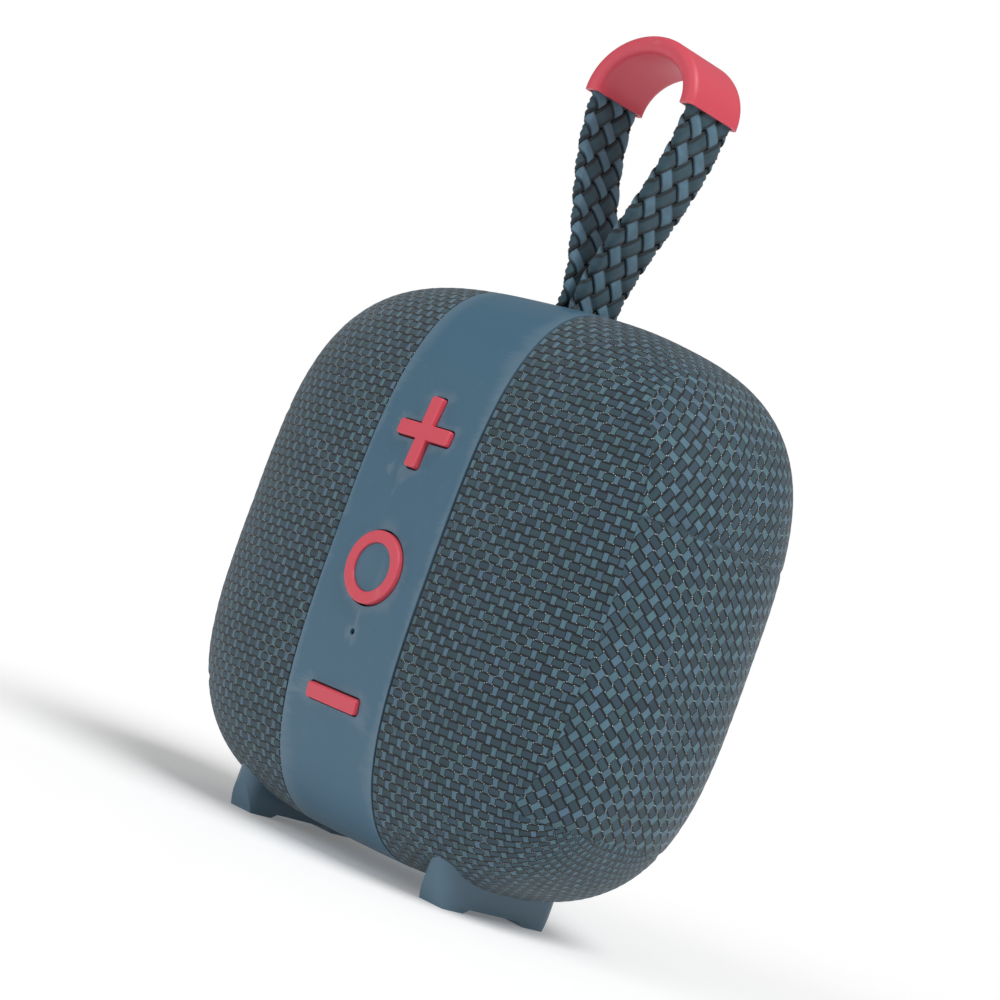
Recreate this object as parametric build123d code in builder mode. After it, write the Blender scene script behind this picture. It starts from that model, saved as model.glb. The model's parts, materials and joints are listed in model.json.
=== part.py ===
"""A pocket wireless speaker: two fabric cheeks either side of a rubber control band, with a braided carry loop.

Everything is modelled about the centre of the pillow-shaped body and lifted onto its feet when it is written.
X runs to the right across the front, the front faces -Y, and Z is up. All sizes are in millimetres.
"""

import math
import os

from build123d import *

os.makedirs("parts", exist_ok=True)

# ---------------------------------------------------------------- driving dimensions
body_width = 105.5
body_depth = 53.5
body_height = 100.0
outline_power = 3.45  # squareness of the body seen from the front
depth_power = 3.04  # squareness of the body seen from the side

running_gap = 0.15  # between neighbouring layers and seated pieces
moving_gap = 0.3  # around pieces that move

fabric_thickness = 1.0
grille_thickness = 1.6
wall_thickness = 2.2
band_width = 24.6
split_gap = 0.8  # left for the gasket between the two half housings
gasket_setback = 0.4  # from the gasket's edges to the faces of the wall

foot_lift = 2.5
foot_x = 26.0
foot_y = -0.9
foot_width = 6.0
foot_length = 25.0
foot_flare = 2.2
foot_flare_height = 5.0
foot_recess_length = 12.6
foot_recess_depth = 0.8
foot_recess_slope = 1.3
foot_peg_radius = 1.2
foot_peg_spacing = 14.0

symbol_length = 12.8
symbol_bar = 2.7
symbol_proud = 0.9
symbol_edge = 0.35
ring_outer_radius = 6.4
ring_inner_radius = 4.2
ring_seat_depth = 1.2
plus_height = 20.2
play_height = -4.1
minus_height = -27.0
core_below_ring = 0.5  # how far the middle of the play key lies below its ring
symbol_corner = 0.5
ring_fit = 0.05  # the ring is pushed on to its key
key_travel = 0.5
key_flange_overlap = 1.6
key_flange_thickness = 0.8
key_post_radius = 1.2
key_end_gap = 0.05  # left above a switch when its key is fully pressed
microphone_height = -15.4
microphone_hole_radius = 0.55

key_board_width = 14.0
key_board_thickness = 1.2
spine_floor = 2.5
spine_floor_y = -17.0
spine_wall = 2.0
spine_margin = 0.8
microphone_radius = 2.0
microphone_thickness = 1.2
switch_size = 4.5
switch_height = 1.5
plunger_radius = 1.0
plunger_height = 0.4

driver_x = 25.5
driver_height = 8.0
driver_radius = 15.9
driver_flange = 1.2
driver_gasket = 0.5
basket_wall = 1.0
basket_depth = 9.4
surround_inner_radius = 10.6
surround_lip = 0.4
clamp_thickness = 1.0
baffle_y = 15.0
baffle_thickness = 2.2
cup_wall = 2.0
throat_margin = 2.4
magnet_radius = 9.5
magnet_thickness = 6.1
magnet_floor = 1.5
coil_radius = 5.0
coil_wall = 0.7
coil_bottom = 12.4
cone_thickness = 0.6
radiator_plate_radius = 9.4
radiator_weight_radius = 5.0
radiator_weight_depth = 3.5

grille_hole_radius = 0.95
grille_hole_pitch = 3.0
grille_field_radius = 14.5
grille_steps = 6  # rows and columns of holes tried on each side of the field's centre

boss_radius = 3.4
upper_boss = (36.0, 33.5)
lower_boss = (40.0, -27.0)
screw_radius = 1.0
screw_length = 18.0
screw_head_radius = 1.9
screw_head_height = 1.6
screw_socket_radius = 0.9
screw_seat_y = 8.0

cell_radius = 9.2
cell_length = 65.0
cell_y = -2.0
cell_height = -27.0
cell_nub = 1.0
cradle_wall = 1.8
cradle_leg = 3.0
cradle_leg_x = 18.0

board_y = 5.0
board_thickness = 1.4
board_half_width = 31.0
board_bottom = -11.0
board_top = 33.0
board_posts = ((0.0, -7.5), (-27.0, 28.0), (27.0, 28.0))
post_radius = 2.5
post_screw_radius = 0.8
post_screw_length = 6.0
post_screw_head = 1.5
post_screw_head_height = 1.0
module_size = (12.0, 15.0, 2.0)
module_height = 19.0
amplifier_size = (7.0, 7.0, 1.2)
amplifier_height = 4.0

port_height = -22.0
port_width = 12.0
port_opening_height = 6.4
flap_width = 16.0
flap_height = 9.6
flap_thickness = 1.2
flap_plug_depth = 1.4
flap_corner = 2.0
flap_barrel_radius = 0.55
flap_barrel_half = 5.5
flap_neck = 1.1  # how far above its hinge line the flap is no wider than its barrel
plug_clearance = 0.5
port_corner = 1.5
socket_width = 9.0
socket_height = 3.2
socket_length = 9.0
socket_wall = 0.3
socket_tongue = 0.7
port_board_y = 12.3
port_board_thickness = 1.2
port_board_width = 26.0
port_board_height = 10.0
port_post_x = 10.5

strap_width = 12.0
strap_thickness = 2.0
strap_neck_half = 1.5  # from the middle of the neck to the middle of each leg
strap_neck_rise = 4.5
strap_loop_radius = 11.6  # half the width of the loop's round end, to the middle of the strap
strap_crown_rise = 9.35  # height of that round end
quarter_pull = 0.5523  # handle of a curve that follows a quarter of an ellipse, as a share of its radius
strap_loop_rise = 39.6  # from the top of the body to the centre of the loop's round end
strap_neck_pull = 0.28  # how long each leg holds its upright direction at the neck, as a share of its rise
strap_crown_pull = 0.4  # and the same at the round end
strap_pivot_rise = 1.0
pin_radius = 1.3
pin_length = 18.0
pin_drop = 8.0
slot_half_x = 4.4
slot_half_y = 6.6
well_wall = 2.0
grip_width = 14.2
grip_thickness = 3.3
grip_leg = 0.4
grip_edge = 1.4

flex_width = 6.0
flex_thickness = 0.3
flex_height = -3.0
flex_slack = 3.5
flex_slit = 1.2
flex_bend = 3.0
battery_lead_radius = 0.8
driver_lead_radius = 0.6

# ---------------------------------------------------------------- what follows from them
centre_height = foot_lift + body_height / 2
band_half = band_width / 2
grille_inset = fabric_thickness + running_gap
band_thickness = grille_inset + grille_thickness
housing_inset = band_thickness + running_gap
cavity_inset = housing_inset + wall_thickness
cheek_start = band_half + running_gap
far = body_width  # long enough to cut right through
top_z = body_height / 2
pivot_z = top_z + strap_pivot_rise
pin_z = top_z - pin_drop
loop_z = top_z + strap_loop_rise
hub_radius = strap_neck_half + strap_thickness / 2
eye_radius = pin_radius + running_gap + strap_thickness
well_floor = pin_z - eye_radius - moving_gap
pocket_radius = driver_radius + running_gap
cup_radius = pocket_radius + cup_wall
throat_radius = driver_radius - throat_margin
spine_half = key_board_width / 2 + running_gap
spine_top = plus_height + symbol_length / 2 + key_flange_overlap + spine_margin
spine_bottom = minus_height - symbol_bar / 2 - key_flange_overlap - spine_margin
key_board_front = spine_floor_y - key_board_thickness
plunger_y = key_board_front - switch_height - plunger_height
boss_points = [(hand * x, z) for x, z in (upper_boss, lower_boss) for hand in (-1, 1)]
foot_pegs = [(hand * foot_x, foot_y + end * foot_peg_spacing / 2) for hand in (-1, 1) for end in (-1, 1)]
socket_mouth = port_board_y + port_board_thickness + socket_length
baffle_centres = {"left": (-driver_x, driver_height), "right": (driver_x, driver_height)}


def handed(side):
    """-1 for the left cheek and +1 for the right one."""
    return -1 if side == "left" else 1


def depth_at(inset, x, z):
    """Half depth of the body form, at that inset, above the point (x, z) of the front view."""
    across = (abs(x) / (body_width / 2 - inset)) ** outline_power
    up = (abs(z) / (body_height / 2 - inset)) ** outline_power
    rim = (across + up) ** (depth_power / outline_power)
    return (body_depth / 2 - inset) * (1 - rim) ** (1 / depth_power)


def height_at(inset, x, y):
    """Half height of the body form, at that inset, above the point (x, y) of the plan."""
    left = (1 - (abs(y) / (body_depth / 2 - inset)) ** depth_power) ** (outline_power / depth_power)
    across = (abs(x) / (body_width / 2 - inset)) ** outline_power
    return (body_height / 2 - inset) * (left - across) ** (1 / outline_power)


def tangent_plane(z, rear=False):
    """Plane on the body's front or rear at height z, with its own Z along the outward normal and its Y up."""
    step = 0.01
    slope = (depth_at(0, 0, z + step) - depth_at(0, 0, z - step)) / (2 * step)
    outward = 1 if rear else -1
    normal = Vector(0, outward, -slope).normalized()
    across = (-1, 0, 0) if rear else (1, 0, 0)
    return Plane(origin=(0, outward * depth_at(0, 0, z), z), x_dir=across, z_dir=normal)


def quarter_outline(half_width, half_height, steps=10):
    """Points of a quarter of the front outline, from its right-hand end to its top."""
    points = []
    for i in range(steps + 1):
        c, s = math.cos(math.pi / 2 * i / steps), math.sin(math.pi / 2 * i / steps)
        reach = 1 / (c**outline_power + s**outline_power) ** (1 / outline_power)
        points.append((half_width * c * reach, half_height * s * reach))
    return points


def body_form(inset):
    """The pillow shape of the body, drawn in by inset all round, as one solid lofted from front to back."""
    half_width, half_depth, half_height = body_width / 2 - inset, body_depth / 2 - inset, body_height / 2 - inset
    shares = (0.10, 0.17, 0.26, 0.37, 0.49, 0.61, 0.72, 0.81, 0.88, 0.93, 0.97, 0.993)
    reach = [(s, half_depth * (1 - s**depth_power) ** (1 / depth_power)) for s in shares]
    stations = [(s, -y) for s, y in reach] + [(1.0, 0.0)] + [(s, y) for s, y in reversed(reach)]
    with BuildPart() as form:
        for share, y in stations:
            quarter = quarter_outline(half_width * share, half_height * share)
            with BuildSketch(Plane.XZ.offset(-y)):
                with BuildLine():
                    Spline(*quarter, tangents=[(0, 1), (-1, 0)])
                    Spline(*[(-x, z) for x, z in reversed(quarter)], tangents=[(-1, 0), (0, -1)])
                    Spline(*[(-x, -z) for x, z in quarter], tangents=[(0, -1), (1, 0)])
                    Spline(*[(x, -z) for x, z in reversed(quarter)], tangents=[(1, 0), (0, 1)])
                make_face()
        loft()
    return form.part


def hand_over(piece, label):
    """Lift a finished piece onto its feet and write it as its own STEP file."""
    placed = piece.part.moved(Location((0, 0, centre_height)))
    placed.label = label
    export_step(placed, f"parts/{label}.step")


def turned(profile, centre, facing):
    """A solid of revolution about the Y axis through centre (x, z). The profile's points are (radius, depth)
    with depth measured inwards from the baffle; facing is -1 for a piece on the front and +1 for the rear."""
    x, z = centre
    shaft = Plane(origin=(x, facing * baffle_y, z), x_dir=(1, 0, 0), z_dir=(0, 0, facing))
    with BuildPart() as solid:
        with BuildSketch(shaft):
            with BuildLine():
                Polyline(*[(r, -d) for r, d in profile], close=True)
            make_face()
        revolve(axis=Axis((x, facing * baffle_y, z), (0, 1, 0)))
    return solid


outer_form = body_form(0)
fabric_core = body_form(fabric_thickness)
grille_form = body_form(grille_inset)
band_core = body_form(band_thickness)
housing_form = body_form(housing_inset)
cavity_form = body_form(cavity_inset)
flap_core = body_form(flap_thickness)
flap_seat = body_form(flap_thickness + moving_gap)
plug_core = body_form(flap_thickness + flap_plug_depth)
cradle_form = body_form(cavity_inset + running_gap)
gasket_outer = body_form(housing_inset + gasket_setback)
gasket_inner = body_form(cavity_inset - gasket_setback)

key_planes = {name: tangent_plane(z) for name, z in
              (("plus", plus_height), ("play", play_height), ("minus", minus_height))}
key_reach = {"plus": symbol_length / 2, "play": ring_outer_radius, "minus": symbol_bar / 2}
port_plane = tangent_plane(port_height, rear=True)
flap_hinge_z = port_height - (flap_height / 2 - flap_barrel_radius) * port_plane.y_dir.Z
flap_hinge_y = depth_at(flap_thickness / 2, 0, flap_hinge_z)


def across(y):
    """Upright plane facing the front at depth y, with its X to the right and its Y up."""
    return Plane.XZ.offset(-y)


def block(low, high):
    """A plain block between two corners, for cutting."""
    size = [b - a for a, b in zip(low, high)]
    centre = tuple((a + b) / 2 for a, b in zip(low, high))
    with BuildPart() as solid:
        with Locations(centre):
            Box(*size)
    return solid.part


def foot_footprint(hand, clearance):
    """The upright slot in which a foot sits, cut through the fabric and the grille."""
    with BuildPart() as slot:
        with BuildSketch(Plane.XY.offset(-far)):
            with Locations((hand * foot_x, foot_y)):
                SlotOverall(foot_length + 2 * foot_flare + 2 * clearance, foot_width + 2 * clearance, rotation=90)
        extrude(amount=far)
    return slot.part


def symbol(name, growth=0.0):
    """The face of a key, a plus, a disc or a minus, drawn inside an open sketch."""
    length, bar = symbol_length + 2 * growth, symbol_bar + 2 * growth
    corner = symbol_corner + growth
    if name == "play":
        Circle(ring_outer_radius + growth)
        return
    RectangleRounded(length, bar, corner)
    if name == "plus":
        RectangleRounded(bar, length, corner)


# ---------------------------------------------------------------- fabric cheeks and the grilles beneath them
for side, (centre_x, centre_z) in baffle_centres.items():
    hand = handed(side)
    left_end, right_end = sorted((hand * cheek_start, hand * far))
    cheek = block((left_end, -far, -far), (right_end, far, far))
    foot_slot = foot_footprint(hand, running_gap)

    with BuildPart() as fabric:
        add(outer_form)
        add(fabric_core, mode=Mode.SUBTRACT)
        add(cheek, mode=Mode.INTERSECT)
        add(foot_slot, mode=Mode.SUBTRACT)
    hand_over(fabric, f"fabric_{side}")

    field = [(centre_x + column * grille_hole_pitch + row % 2 * grille_hole_pitch / 2,
              centre_z + row * grille_hole_pitch * math.sqrt(0.75))
             for column in range(-grille_steps, grille_steps + 1) for row in range(-grille_steps, grille_steps + 1)]
    holes = [(x, z) for x, z in field if math.hypot(x - centre_x, z - centre_z) < grille_field_radius]
    with BuildPart() as grille:
        add(grille_form)
        add(band_core, mode=Mode.SUBTRACT)
        add(cheek, mode=Mode.INTERSECT)
        add(foot_slot, mode=Mode.SUBTRACT)
        with BuildSketch(across(-far / 2)):
            with Locations(*holes):
                Circle(grille_hole_radius)
        extrude(amount=-far, mode=Mode.SUBTRACT)
    hand_over(grille, f"grille_{side}")


# ---------------------------------------------------------------- control band and the flap over its port
with BuildPart() as flap_pocket:
    with BuildSketch(port_plane.offset(flap_height)):
        RectangleRounded(flap_width + 2 * moving_gap, flap_height + 2 * moving_gap, flap_corner + moving_gap)
    extrude(amount=-2 * flap_height)
    add(flap_seat, mode=Mode.SUBTRACT)

with BuildPart() as control_band:
    add(outer_form)
    add(band_core, mode=Mode.SUBTRACT)
    Box(band_width, far, 2 * far, mode=Mode.INTERSECT)
    for name, plane in key_planes.items():
        with BuildSketch(plane.offset(band_thickness)):
            symbol(name, moving_gap)
        extrude(amount=-3 * band_thickness, mode=Mode.SUBTRACT)
    with BuildSketch(across(-body_depth)):
        with Locations((0, microphone_height)):
            Circle(microphone_hole_radius)
    extrude(amount=-body_depth, mode=Mode.SUBTRACT)
    with Locations((0, 0, top_z)):
        Box(2 * slot_half_x, 2 * slot_half_y, 4 * band_thickness, mode=Mode.SUBTRACT)
    add(flap_pocket.part, mode=Mode.SUBTRACT)
    with BuildSketch(port_plane.offset(band_thickness)):
        RectangleRounded(port_width, port_opening_height, port_corner)
    extrude(amount=-3 * band_thickness, mode=Mode.SUBTRACT)
hand_over(control_band, "control_band")

with BuildPart() as flap_plug:
    with BuildSketch(port_plane):
        RectangleRounded(port_width - 2 * plug_clearance, port_opening_height - 2 * plug_clearance, port_corner)
    extrude(amount=-2 * band_thickness)
    add(plug_core, mode=Mode.SUBTRACT)

with BuildPart() as port_flap:
    with BuildSketch(port_plane.offset(flap_height)):
        RectangleRounded(flap_width, flap_height, flap_corner)
    extrude(amount=-2 * flap_height)
    add(outer_form, mode=Mode.INTERSECT)
    add(flap_core, mode=Mode.SUBTRACT)
    add(block((-flap_width, 0, -far), (flap_width, far, flap_hinge_z)), mode=Mode.SUBTRACT)
    for hand in (-1, 1):
        inner, outer = sorted((hand * flap_barrel_half, hand * flap_width))
        add(block((inner, 0, -far), (outer, far, flap_hinge_z + flap_neck)), mode=Mode.SUBTRACT)
    with BuildSketch(Plane.YZ.offset(-flap_barrel_half)):
        with Locations((flap_hinge_y, flap_hinge_z)):
            Circle(flap_barrel_radius)
    extrude(amount=2 * flap_barrel_half)
    add(flap_plug.part)
hand_over(port_flap, "port_flap")


# ---------------------------------------------------------------- half housings
def half_shell(facing):
    """What both half housings share: wall, driver cups, bosses and half of the strap's well."""
    outwards = -facing * far
    with BuildPart() as fittings:
        with BuildSketch(across(facing * (baffle_y - baffle_thickness))):
            with Locations(*baffle_centres.values()):
                Circle(cup_radius)
        extrude(amount=outwards)
        with BuildSketch(across(facing * split_gap / 2)):
            with Locations(*boss_points):
                Circle(boss_radius)
        extrude(amount=outwards)
        add(block((-slot_half_x - well_wall, -slot_half_y - well_wall, well_floor - well_wall),
                  (slot_half_x + well_wall, slot_half_y + well_wall, top_z)))
        add(housing_form, mode=Mode.INTERSECT)
    with BuildPart() as half:
        add(housing_form)
        add(cavity_form, mode=Mode.SUBTRACT)
        add(fittings.part)
        with Locations((0, facing * (split_gap + far) / 2, 0)):
            Box(2 * far, far, 2 * far, mode=Mode.INTERSECT)
        with BuildSketch(across(facing * baffle_y)):
            with Locations(*baffle_centres.values()):
                Circle(pocket_radius)
        extrude(amount=outwards, mode=Mode.SUBTRACT)
        with BuildSketch(across(facing * (baffle_y - 2 * baffle_thickness))):
            with Locations(*baffle_centres.values()):
                Circle(throat_radius)
        extrude(amount=outwards, mode=Mode.SUBTRACT)
        add(block((-slot_half_x, -slot_half_y, well_floor), (slot_half_x, slot_half_y, far)), mode=Mode.SUBTRACT)
        with BuildSketch(across(-pin_length / 2 - running_gap)):
            with Locations((0, pin_z)):
                Circle(pin_radius + running_gap)
        extrude(amount=-pin_length - 2 * running_gap, mode=Mode.SUBTRACT)
        with BuildSketch(Plane.XY.offset(-far)):
            with Locations(*foot_pegs):
                Circle(foot_peg_radius + running_gap)
        extrude(amount=far - cell_radius + cell_height, mode=Mode.SUBTRACT)
    return half.part


def post(x, z, start_y, radius):
    """A round post from depth start_y back to the rear wall."""
    with BuildPart() as solid:
        with BuildSketch(across(start_y)):
            with Locations((x, z)):
                Circle(radius)
        extrude(amount=-far)
        add(housing_form, mode=Mode.INTERSECT)
    return solid.part


front_shell, rear_shell = half_shell(-1), half_shell(1)
spine_block = block((-spine_half - spine_wall, -far, spine_bottom - spine_wall),
                    (spine_half + spine_wall, spine_floor_y + spine_floor, spine_top + spine_wall))
with BuildPart() as spine:
    add(housing_form)
    add(spine_block, mode=Mode.INTERSECT)

with BuildPart() as front_housing:
    add(front_shell)
    add(spine.part)
    add(block((-spine_half, -far, spine_bottom), (spine_half, spine_floor_y, spine_top)), mode=Mode.SUBTRACT)
    with Locations((0, spine_floor_y + spine_floor / 2, flex_height)):
        Box(flex_width + 2 * running_gap, 3 * spine_floor, flex_slit, mode=Mode.SUBTRACT)
    with BuildSketch(across(screw_seat_y)):
        with Locations(*boss_points):
            Circle(screw_radius)
    extrude(amount=screw_length + running_gap, mode=Mode.SUBTRACT)
hand_over(front_housing, "front_housing")

board_rear = board_y + board_thickness
port_board_rear = port_board_y + port_board_thickness
port_posts = [(hand * port_post_x, port_height) for hand in (-1, 1)]
with BuildPart() as rear_housing:
    add(rear_shell)
    for x, z in board_posts:
        add(post(x, z, board_rear, post_radius))
    for x, z in port_posts:
        add(post(x, z, port_board_rear, post_radius))
    for points, start in ((board_posts, board_rear), (port_posts, port_board_rear)):
        with BuildSketch(across(start)):
            with Locations(*points):
                Circle(post_screw_radius)
        extrude(amount=-post_screw_length, mode=Mode.SUBTRACT)
    with BuildSketch(across(split_gap / 2)):
        with Locations(*boss_points):
            Circle(screw_radius + running_gap)
    extrude(amount=-far, mode=Mode.SUBTRACT)
    with BuildSketch(across(screw_seat_y)):
        with Locations(*boss_points):
            Circle(screw_head_radius + running_gap)
    extrude(amount=-far, mode=Mode.SUBTRACT)
    with BuildSketch(port_plane.offset(band_thickness)):
        RectangleRounded(port_width, port_opening_height, port_corner)
    extrude(amount=-3 * (band_thickness + wall_thickness), mode=Mode.SUBTRACT)
hand_over(rear_housing, "rear_housing")

with BuildPart() as housing_gasket:
    add(gasket_outer)
    add(gasket_inner, mode=Mode.SUBTRACT)
    Box(2 * far, split_gap, 2 * far, mode=Mode.INTERSECT)
    add(block((-slot_half_x, -far, 0), (slot_half_x, far, far)), mode=Mode.SUBTRACT)
hand_over(housing_gasket, "housing_gasket")

with BuildPart() as housing_screws:
    with BuildSketch(across(screw_seat_y)):
        with Locations(*boss_points):
            Circle(screw_radius)
    extrude(amount=screw_length)
    with BuildSketch(across(screw_seat_y)):
        with Locations(*boss_points):
            Circle(screw_head_radius)
    extrude(amount=-screw_head_height)
    with BuildSketch(across(screw_seat_y + screw_head_height)):
        with Locations(*boss_points):
            RegularPolygon(screw_socket_radius, 6)
    extrude(amount=screw_head_height / 2, mode=Mode.SUBTRACT)
hand_over(housing_screws, "housing_screws")


# ---------------------------------------------------------------- drivers on the front, passive radiators on the rear
flange_top = -driver_gasket - driver_flange
lip_top = flange_top - surround_lip
shelf = basket_depth - basket_wall
coil_inner = coil_radius - coil_wall / 2
coil_outer = coil_radius + coil_wall / 2
waist = magnet_radius + basket_wall
neck = throat_radius - running_gap
spider_depth = 5.6
cone_bottom = 2.4
driver_profiles = {
    "driver_gasket": [(throat_radius, -driver_gasket), (throat_radius, 0), (driver_radius, 0),
                      (driver_radius, -driver_gasket)],
    "driver_basket": [(driver_radius, flange_top), (driver_radius, -driver_gasket), (neck, -driver_gasket),
                      (neck, 3), (waist, shelf), (waist, basket_depth), (coil_outer + moving_gap, basket_depth),
                      (coil_outer + moving_gap, shelf), (waist - basket_wall, shelf), (neck - basket_wall, 3),
                      (neck - basket_wall, flange_top)],
    "driver_magnet": [(0, basket_depth), (coil_inner - moving_gap, basket_depth),
                      (coil_inner - moving_gap, basket_depth + magnet_thickness - magnet_floor),
                      (coil_outer + moving_gap, basket_depth + magnet_thickness - magnet_floor),
                      (coil_outer + moving_gap, basket_depth), (magnet_radius, basket_depth),
                      (magnet_radius, basket_depth + magnet_thickness), (0, basket_depth + magnet_thickness)],
    "voice_coil": [(coil_inner, cone_bottom), (coil_outer, cone_bottom), (coil_outer, coil_bottom),
                   (coil_inner, coil_bottom)],
    "cone": [(coil_outer, cone_bottom), (surround_inner_radius, lip_top), (surround_inner_radius, flange_top),
             (coil_outer, cone_bottom + cone_thickness)],
    "dust_cap": [(0, 0.9), (coil_inner / 2, 1.2), (coil_inner, cone_bottom - cone_thickness),
                 (coil_outer, cone_bottom - 0.4), (coil_outer, cone_bottom), (coil_inner, cone_bottom),
                 (coil_inner / 2, 1.7), (0, 1.4)],
    "surround": [(surround_inner_radius, lip_top), (surround_inner_radius, flange_top),
                 (surround_inner_radius + 0.3, lip_top - 0.6), (surround_inner_radius + 1.3, lip_top - 1.0),
                 (surround_inner_radius + 2.0, lip_top - 0.4), (neck, flange_top),
                 (driver_radius - 0.4, flange_top), (driver_radius - 0.4, lip_top), (neck - 0.3, lip_top),
                 (surround_inner_radius + 1.3, lip_top - 1.5), (surround_inner_radius - 0.2, lip_top - 0.5)],
    "spider": [(coil_outer, spider_depth), (waist, spider_depth), (waist, spider_depth + 0.4),
               (coil_outer, spider_depth + 0.4)],
    "driver_clamp": [(driver_radius - 2.0, lip_top - clamp_thickness), (driver_radius - 2.0, lip_top),
                     (driver_radius, lip_top), (driver_radius, lip_top - clamp_thickness)],
}
radiator_profiles = {
    "radiator_frame": [(neck - 1.5, flange_top), (driver_radius, flange_top), (driver_radius, 0), (neck, 0),
                       (neck, 2), (neck - 1.5, 2)],
    "radiator_surround": [(radiator_plate_radius, -0.6), (radiator_plate_radius, -0.2),
                          (radiator_plate_radius + 1.2, -1.4), (neck - 1.5, -0.2 + flange_top),
                          (neck - 0.5, flange_top), (neck - 0.5, flange_top - surround_lip),
                          (neck - 1.7, flange_top - surround_lip), (radiator_plate_radius + 1.2, -1.9)],
    "radiator_plate": [(0, -0.6), (radiator_plate_radius, -0.6), (radiator_plate_radius, 0.6),
                       (radiator_weight_radius, 0.6), (radiator_weight_radius, radiator_weight_depth),
                       (0, radiator_weight_depth)],
}
for side, centre in baffle_centres.items():
    for label, profile in driver_profiles.items():
        hand_over(turned(profile, centre, -1), f"{label}_{side}")
    for label, profile in radiator_profiles.items():
        hand_over(turned(profile, centre, 1), f"{label}_{side}")


# ---------------------------------------------------------------- keys and the board behind them
def clear_depth(plane, reach):
    """Depth below the tangent plane at which a key's flange clears the inside of the band, reach either way."""
    z = plane.origin.Z
    inside = [Vector(0, -depth_at(band_thickness, 0, z + step), z + step) for step in (-reach, 0, reach)]
    return max((plane.origin - point).dot(plane.z_dir) for point in inside) + moving_gap


switch_points = []
for name, plane in key_planes.items():
    reach = key_reach[name] + key_flange_overlap
    flange_depth = clear_depth(plane, reach)
    to_switch = (plane.origin.Y - plunger_y) / plane.z_dir.Y
    switch_points.append((0, plane.origin.Z - to_switch * plane.z_dir.Z))
    with BuildPart() as key:
        with BuildSketch(plane.offset(symbol_proud)):
            symbol(name)
        extrude(amount=-symbol_proud - flange_depth)
        proud = key.faces().sort_by(Axis(plane.origin, plane.z_dir))[-1]
        fillet(proud.edges(), symbol_edge)
        with BuildSketch(plane.offset(-flange_depth)):
            Rectangle(2 * (spine_half - moving_gap), 2 * reach)
        extrude(amount=-key_flange_thickness)
        with BuildSketch(plane.offset(-flange_depth)):
            Circle(key_post_radius)
        post_tilt = key_post_radius * abs(plane.z_dir.Z)
        extrude(amount=flange_depth + key_travel + key_end_gap + post_tilt - to_switch)
        if name == "play":
            with BuildSketch(plane.offset(symbol_proud)):
                Circle(ring_outer_radius + running_gap)
                Circle(ring_inner_radius, mode=Mode.SUBTRACT)
            extrude(amount=-symbol_proud - ring_seat_depth, mode=Mode.SUBTRACT)
            with BuildSketch(plane.offset(symbol_proud)):
                Circle(ring_inner_radius + running_gap)
            extrude(amount=-core_below_ring, mode=Mode.SUBTRACT)
    hand_over(key, {"play": "play_core"}.get(name, f"{name}_key"))

with BuildPart() as play_ring:
    with BuildSketch(key_planes["play"].offset(symbol_proud)):
        Circle(ring_outer_radius)
        Circle(ring_inner_radius + ring_fit, mode=Mode.SUBTRACT)
    extrude(amount=-symbol_proud - ring_seat_depth)
    fillet(play_ring.faces().sort_by(Axis.Y)[0].edges(), symbol_edge)
hand_over(play_ring, "play_ring")

board_low, board_high = spine_bottom + running_gap, spine_top - running_gap
with BuildPart() as key_board:
    add(block((-key_board_width / 2, key_board_front, board_low), (key_board_width / 2, spine_floor_y, board_high)))
hand_over(key_board, "key_board")

with BuildPart() as key_switches:
    with BuildSketch(across(key_board_front)):
        with Locations(*switch_points):
            Rectangle(switch_size, switch_size)
    extrude(amount=switch_height)
    with BuildSketch(across(key_board_front - switch_height)):
        with Locations(*switch_points):
            Circle(plunger_radius)
    extrude(amount=plunger_height)
hand_over(key_switches, "key_switches")

with BuildPart() as microphone:
    with BuildSketch(across(key_board_front)):
        with Locations((0, microphone_height)):
            Circle(microphone_radius)
    extrude(amount=microphone_thickness)
    with BuildSketch(across(key_board_front - microphone_thickness)):
        with Locations((0, microphone_height)):
            Circle(microphone_hole_radius)
    extrude(amount=-microphone_thickness / 2, mode=Mode.SUBTRACT)
hand_over(microphone, "microphone")


# ---------------------------------------------------------------- main board, port board and their screws
with BuildPart() as main_board:
    with BuildSketch(across(board_rear)):
        with Locations((0, (board_bottom + board_top) / 2)):
            RectangleRounded(2 * board_half_width, board_top - board_bottom, 2.0)
        with Locations(*board_posts):
            Circle(post_screw_radius + running_gap, mode=Mode.SUBTRACT)
    extrude(amount=board_thickness)
hand_over(main_board, "main_board")

for label, size, z in (("radio_module", module_size, module_height),
                       ("amplifier_chip", amplifier_size, amplifier_height)):
    width, height, thickness = size
    with BuildPart() as chip:
        with BuildSketch(across(board_y)):
            with Locations((0, z)):
                RectangleRounded(width, height, 0.4)
        extrude(amount=thickness)
    hand_over(chip, label)

with BuildPart() as port_board:
    with BuildSketch(across(port_board_rear)):
        with Locations((0, port_height)):
            Rectangle(port_board_width, port_board_height)
        with Locations(*port_posts):
            Circle(post_screw_radius + running_gap, mode=Mode.SUBTRACT)
    extrude(amount=port_board_thickness)
hand_over(port_board, "port_board")

with BuildPart() as usb_socket:
    with BuildSketch(across(port_board_rear)):
        with Locations((0, port_height)):
            SlotOverall(socket_width, socket_height)
    extrude(amount=-socket_length)
    with BuildSketch(across(socket_mouth)):
        with Locations((0, port_height)):
            SlotOverall(socket_width - 2 * socket_wall, socket_height - 2 * socket_wall)
    extrude(amount=socket_length - 2, mode=Mode.SUBTRACT)
    with BuildSketch(across(port_board_rear)):
        with Locations((0, port_height)):
            Rectangle(socket_width - 2.4, socket_tongue)
    extrude(amount=1.0 - socket_length)
hand_over(usb_socket, "usb_socket")

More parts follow.
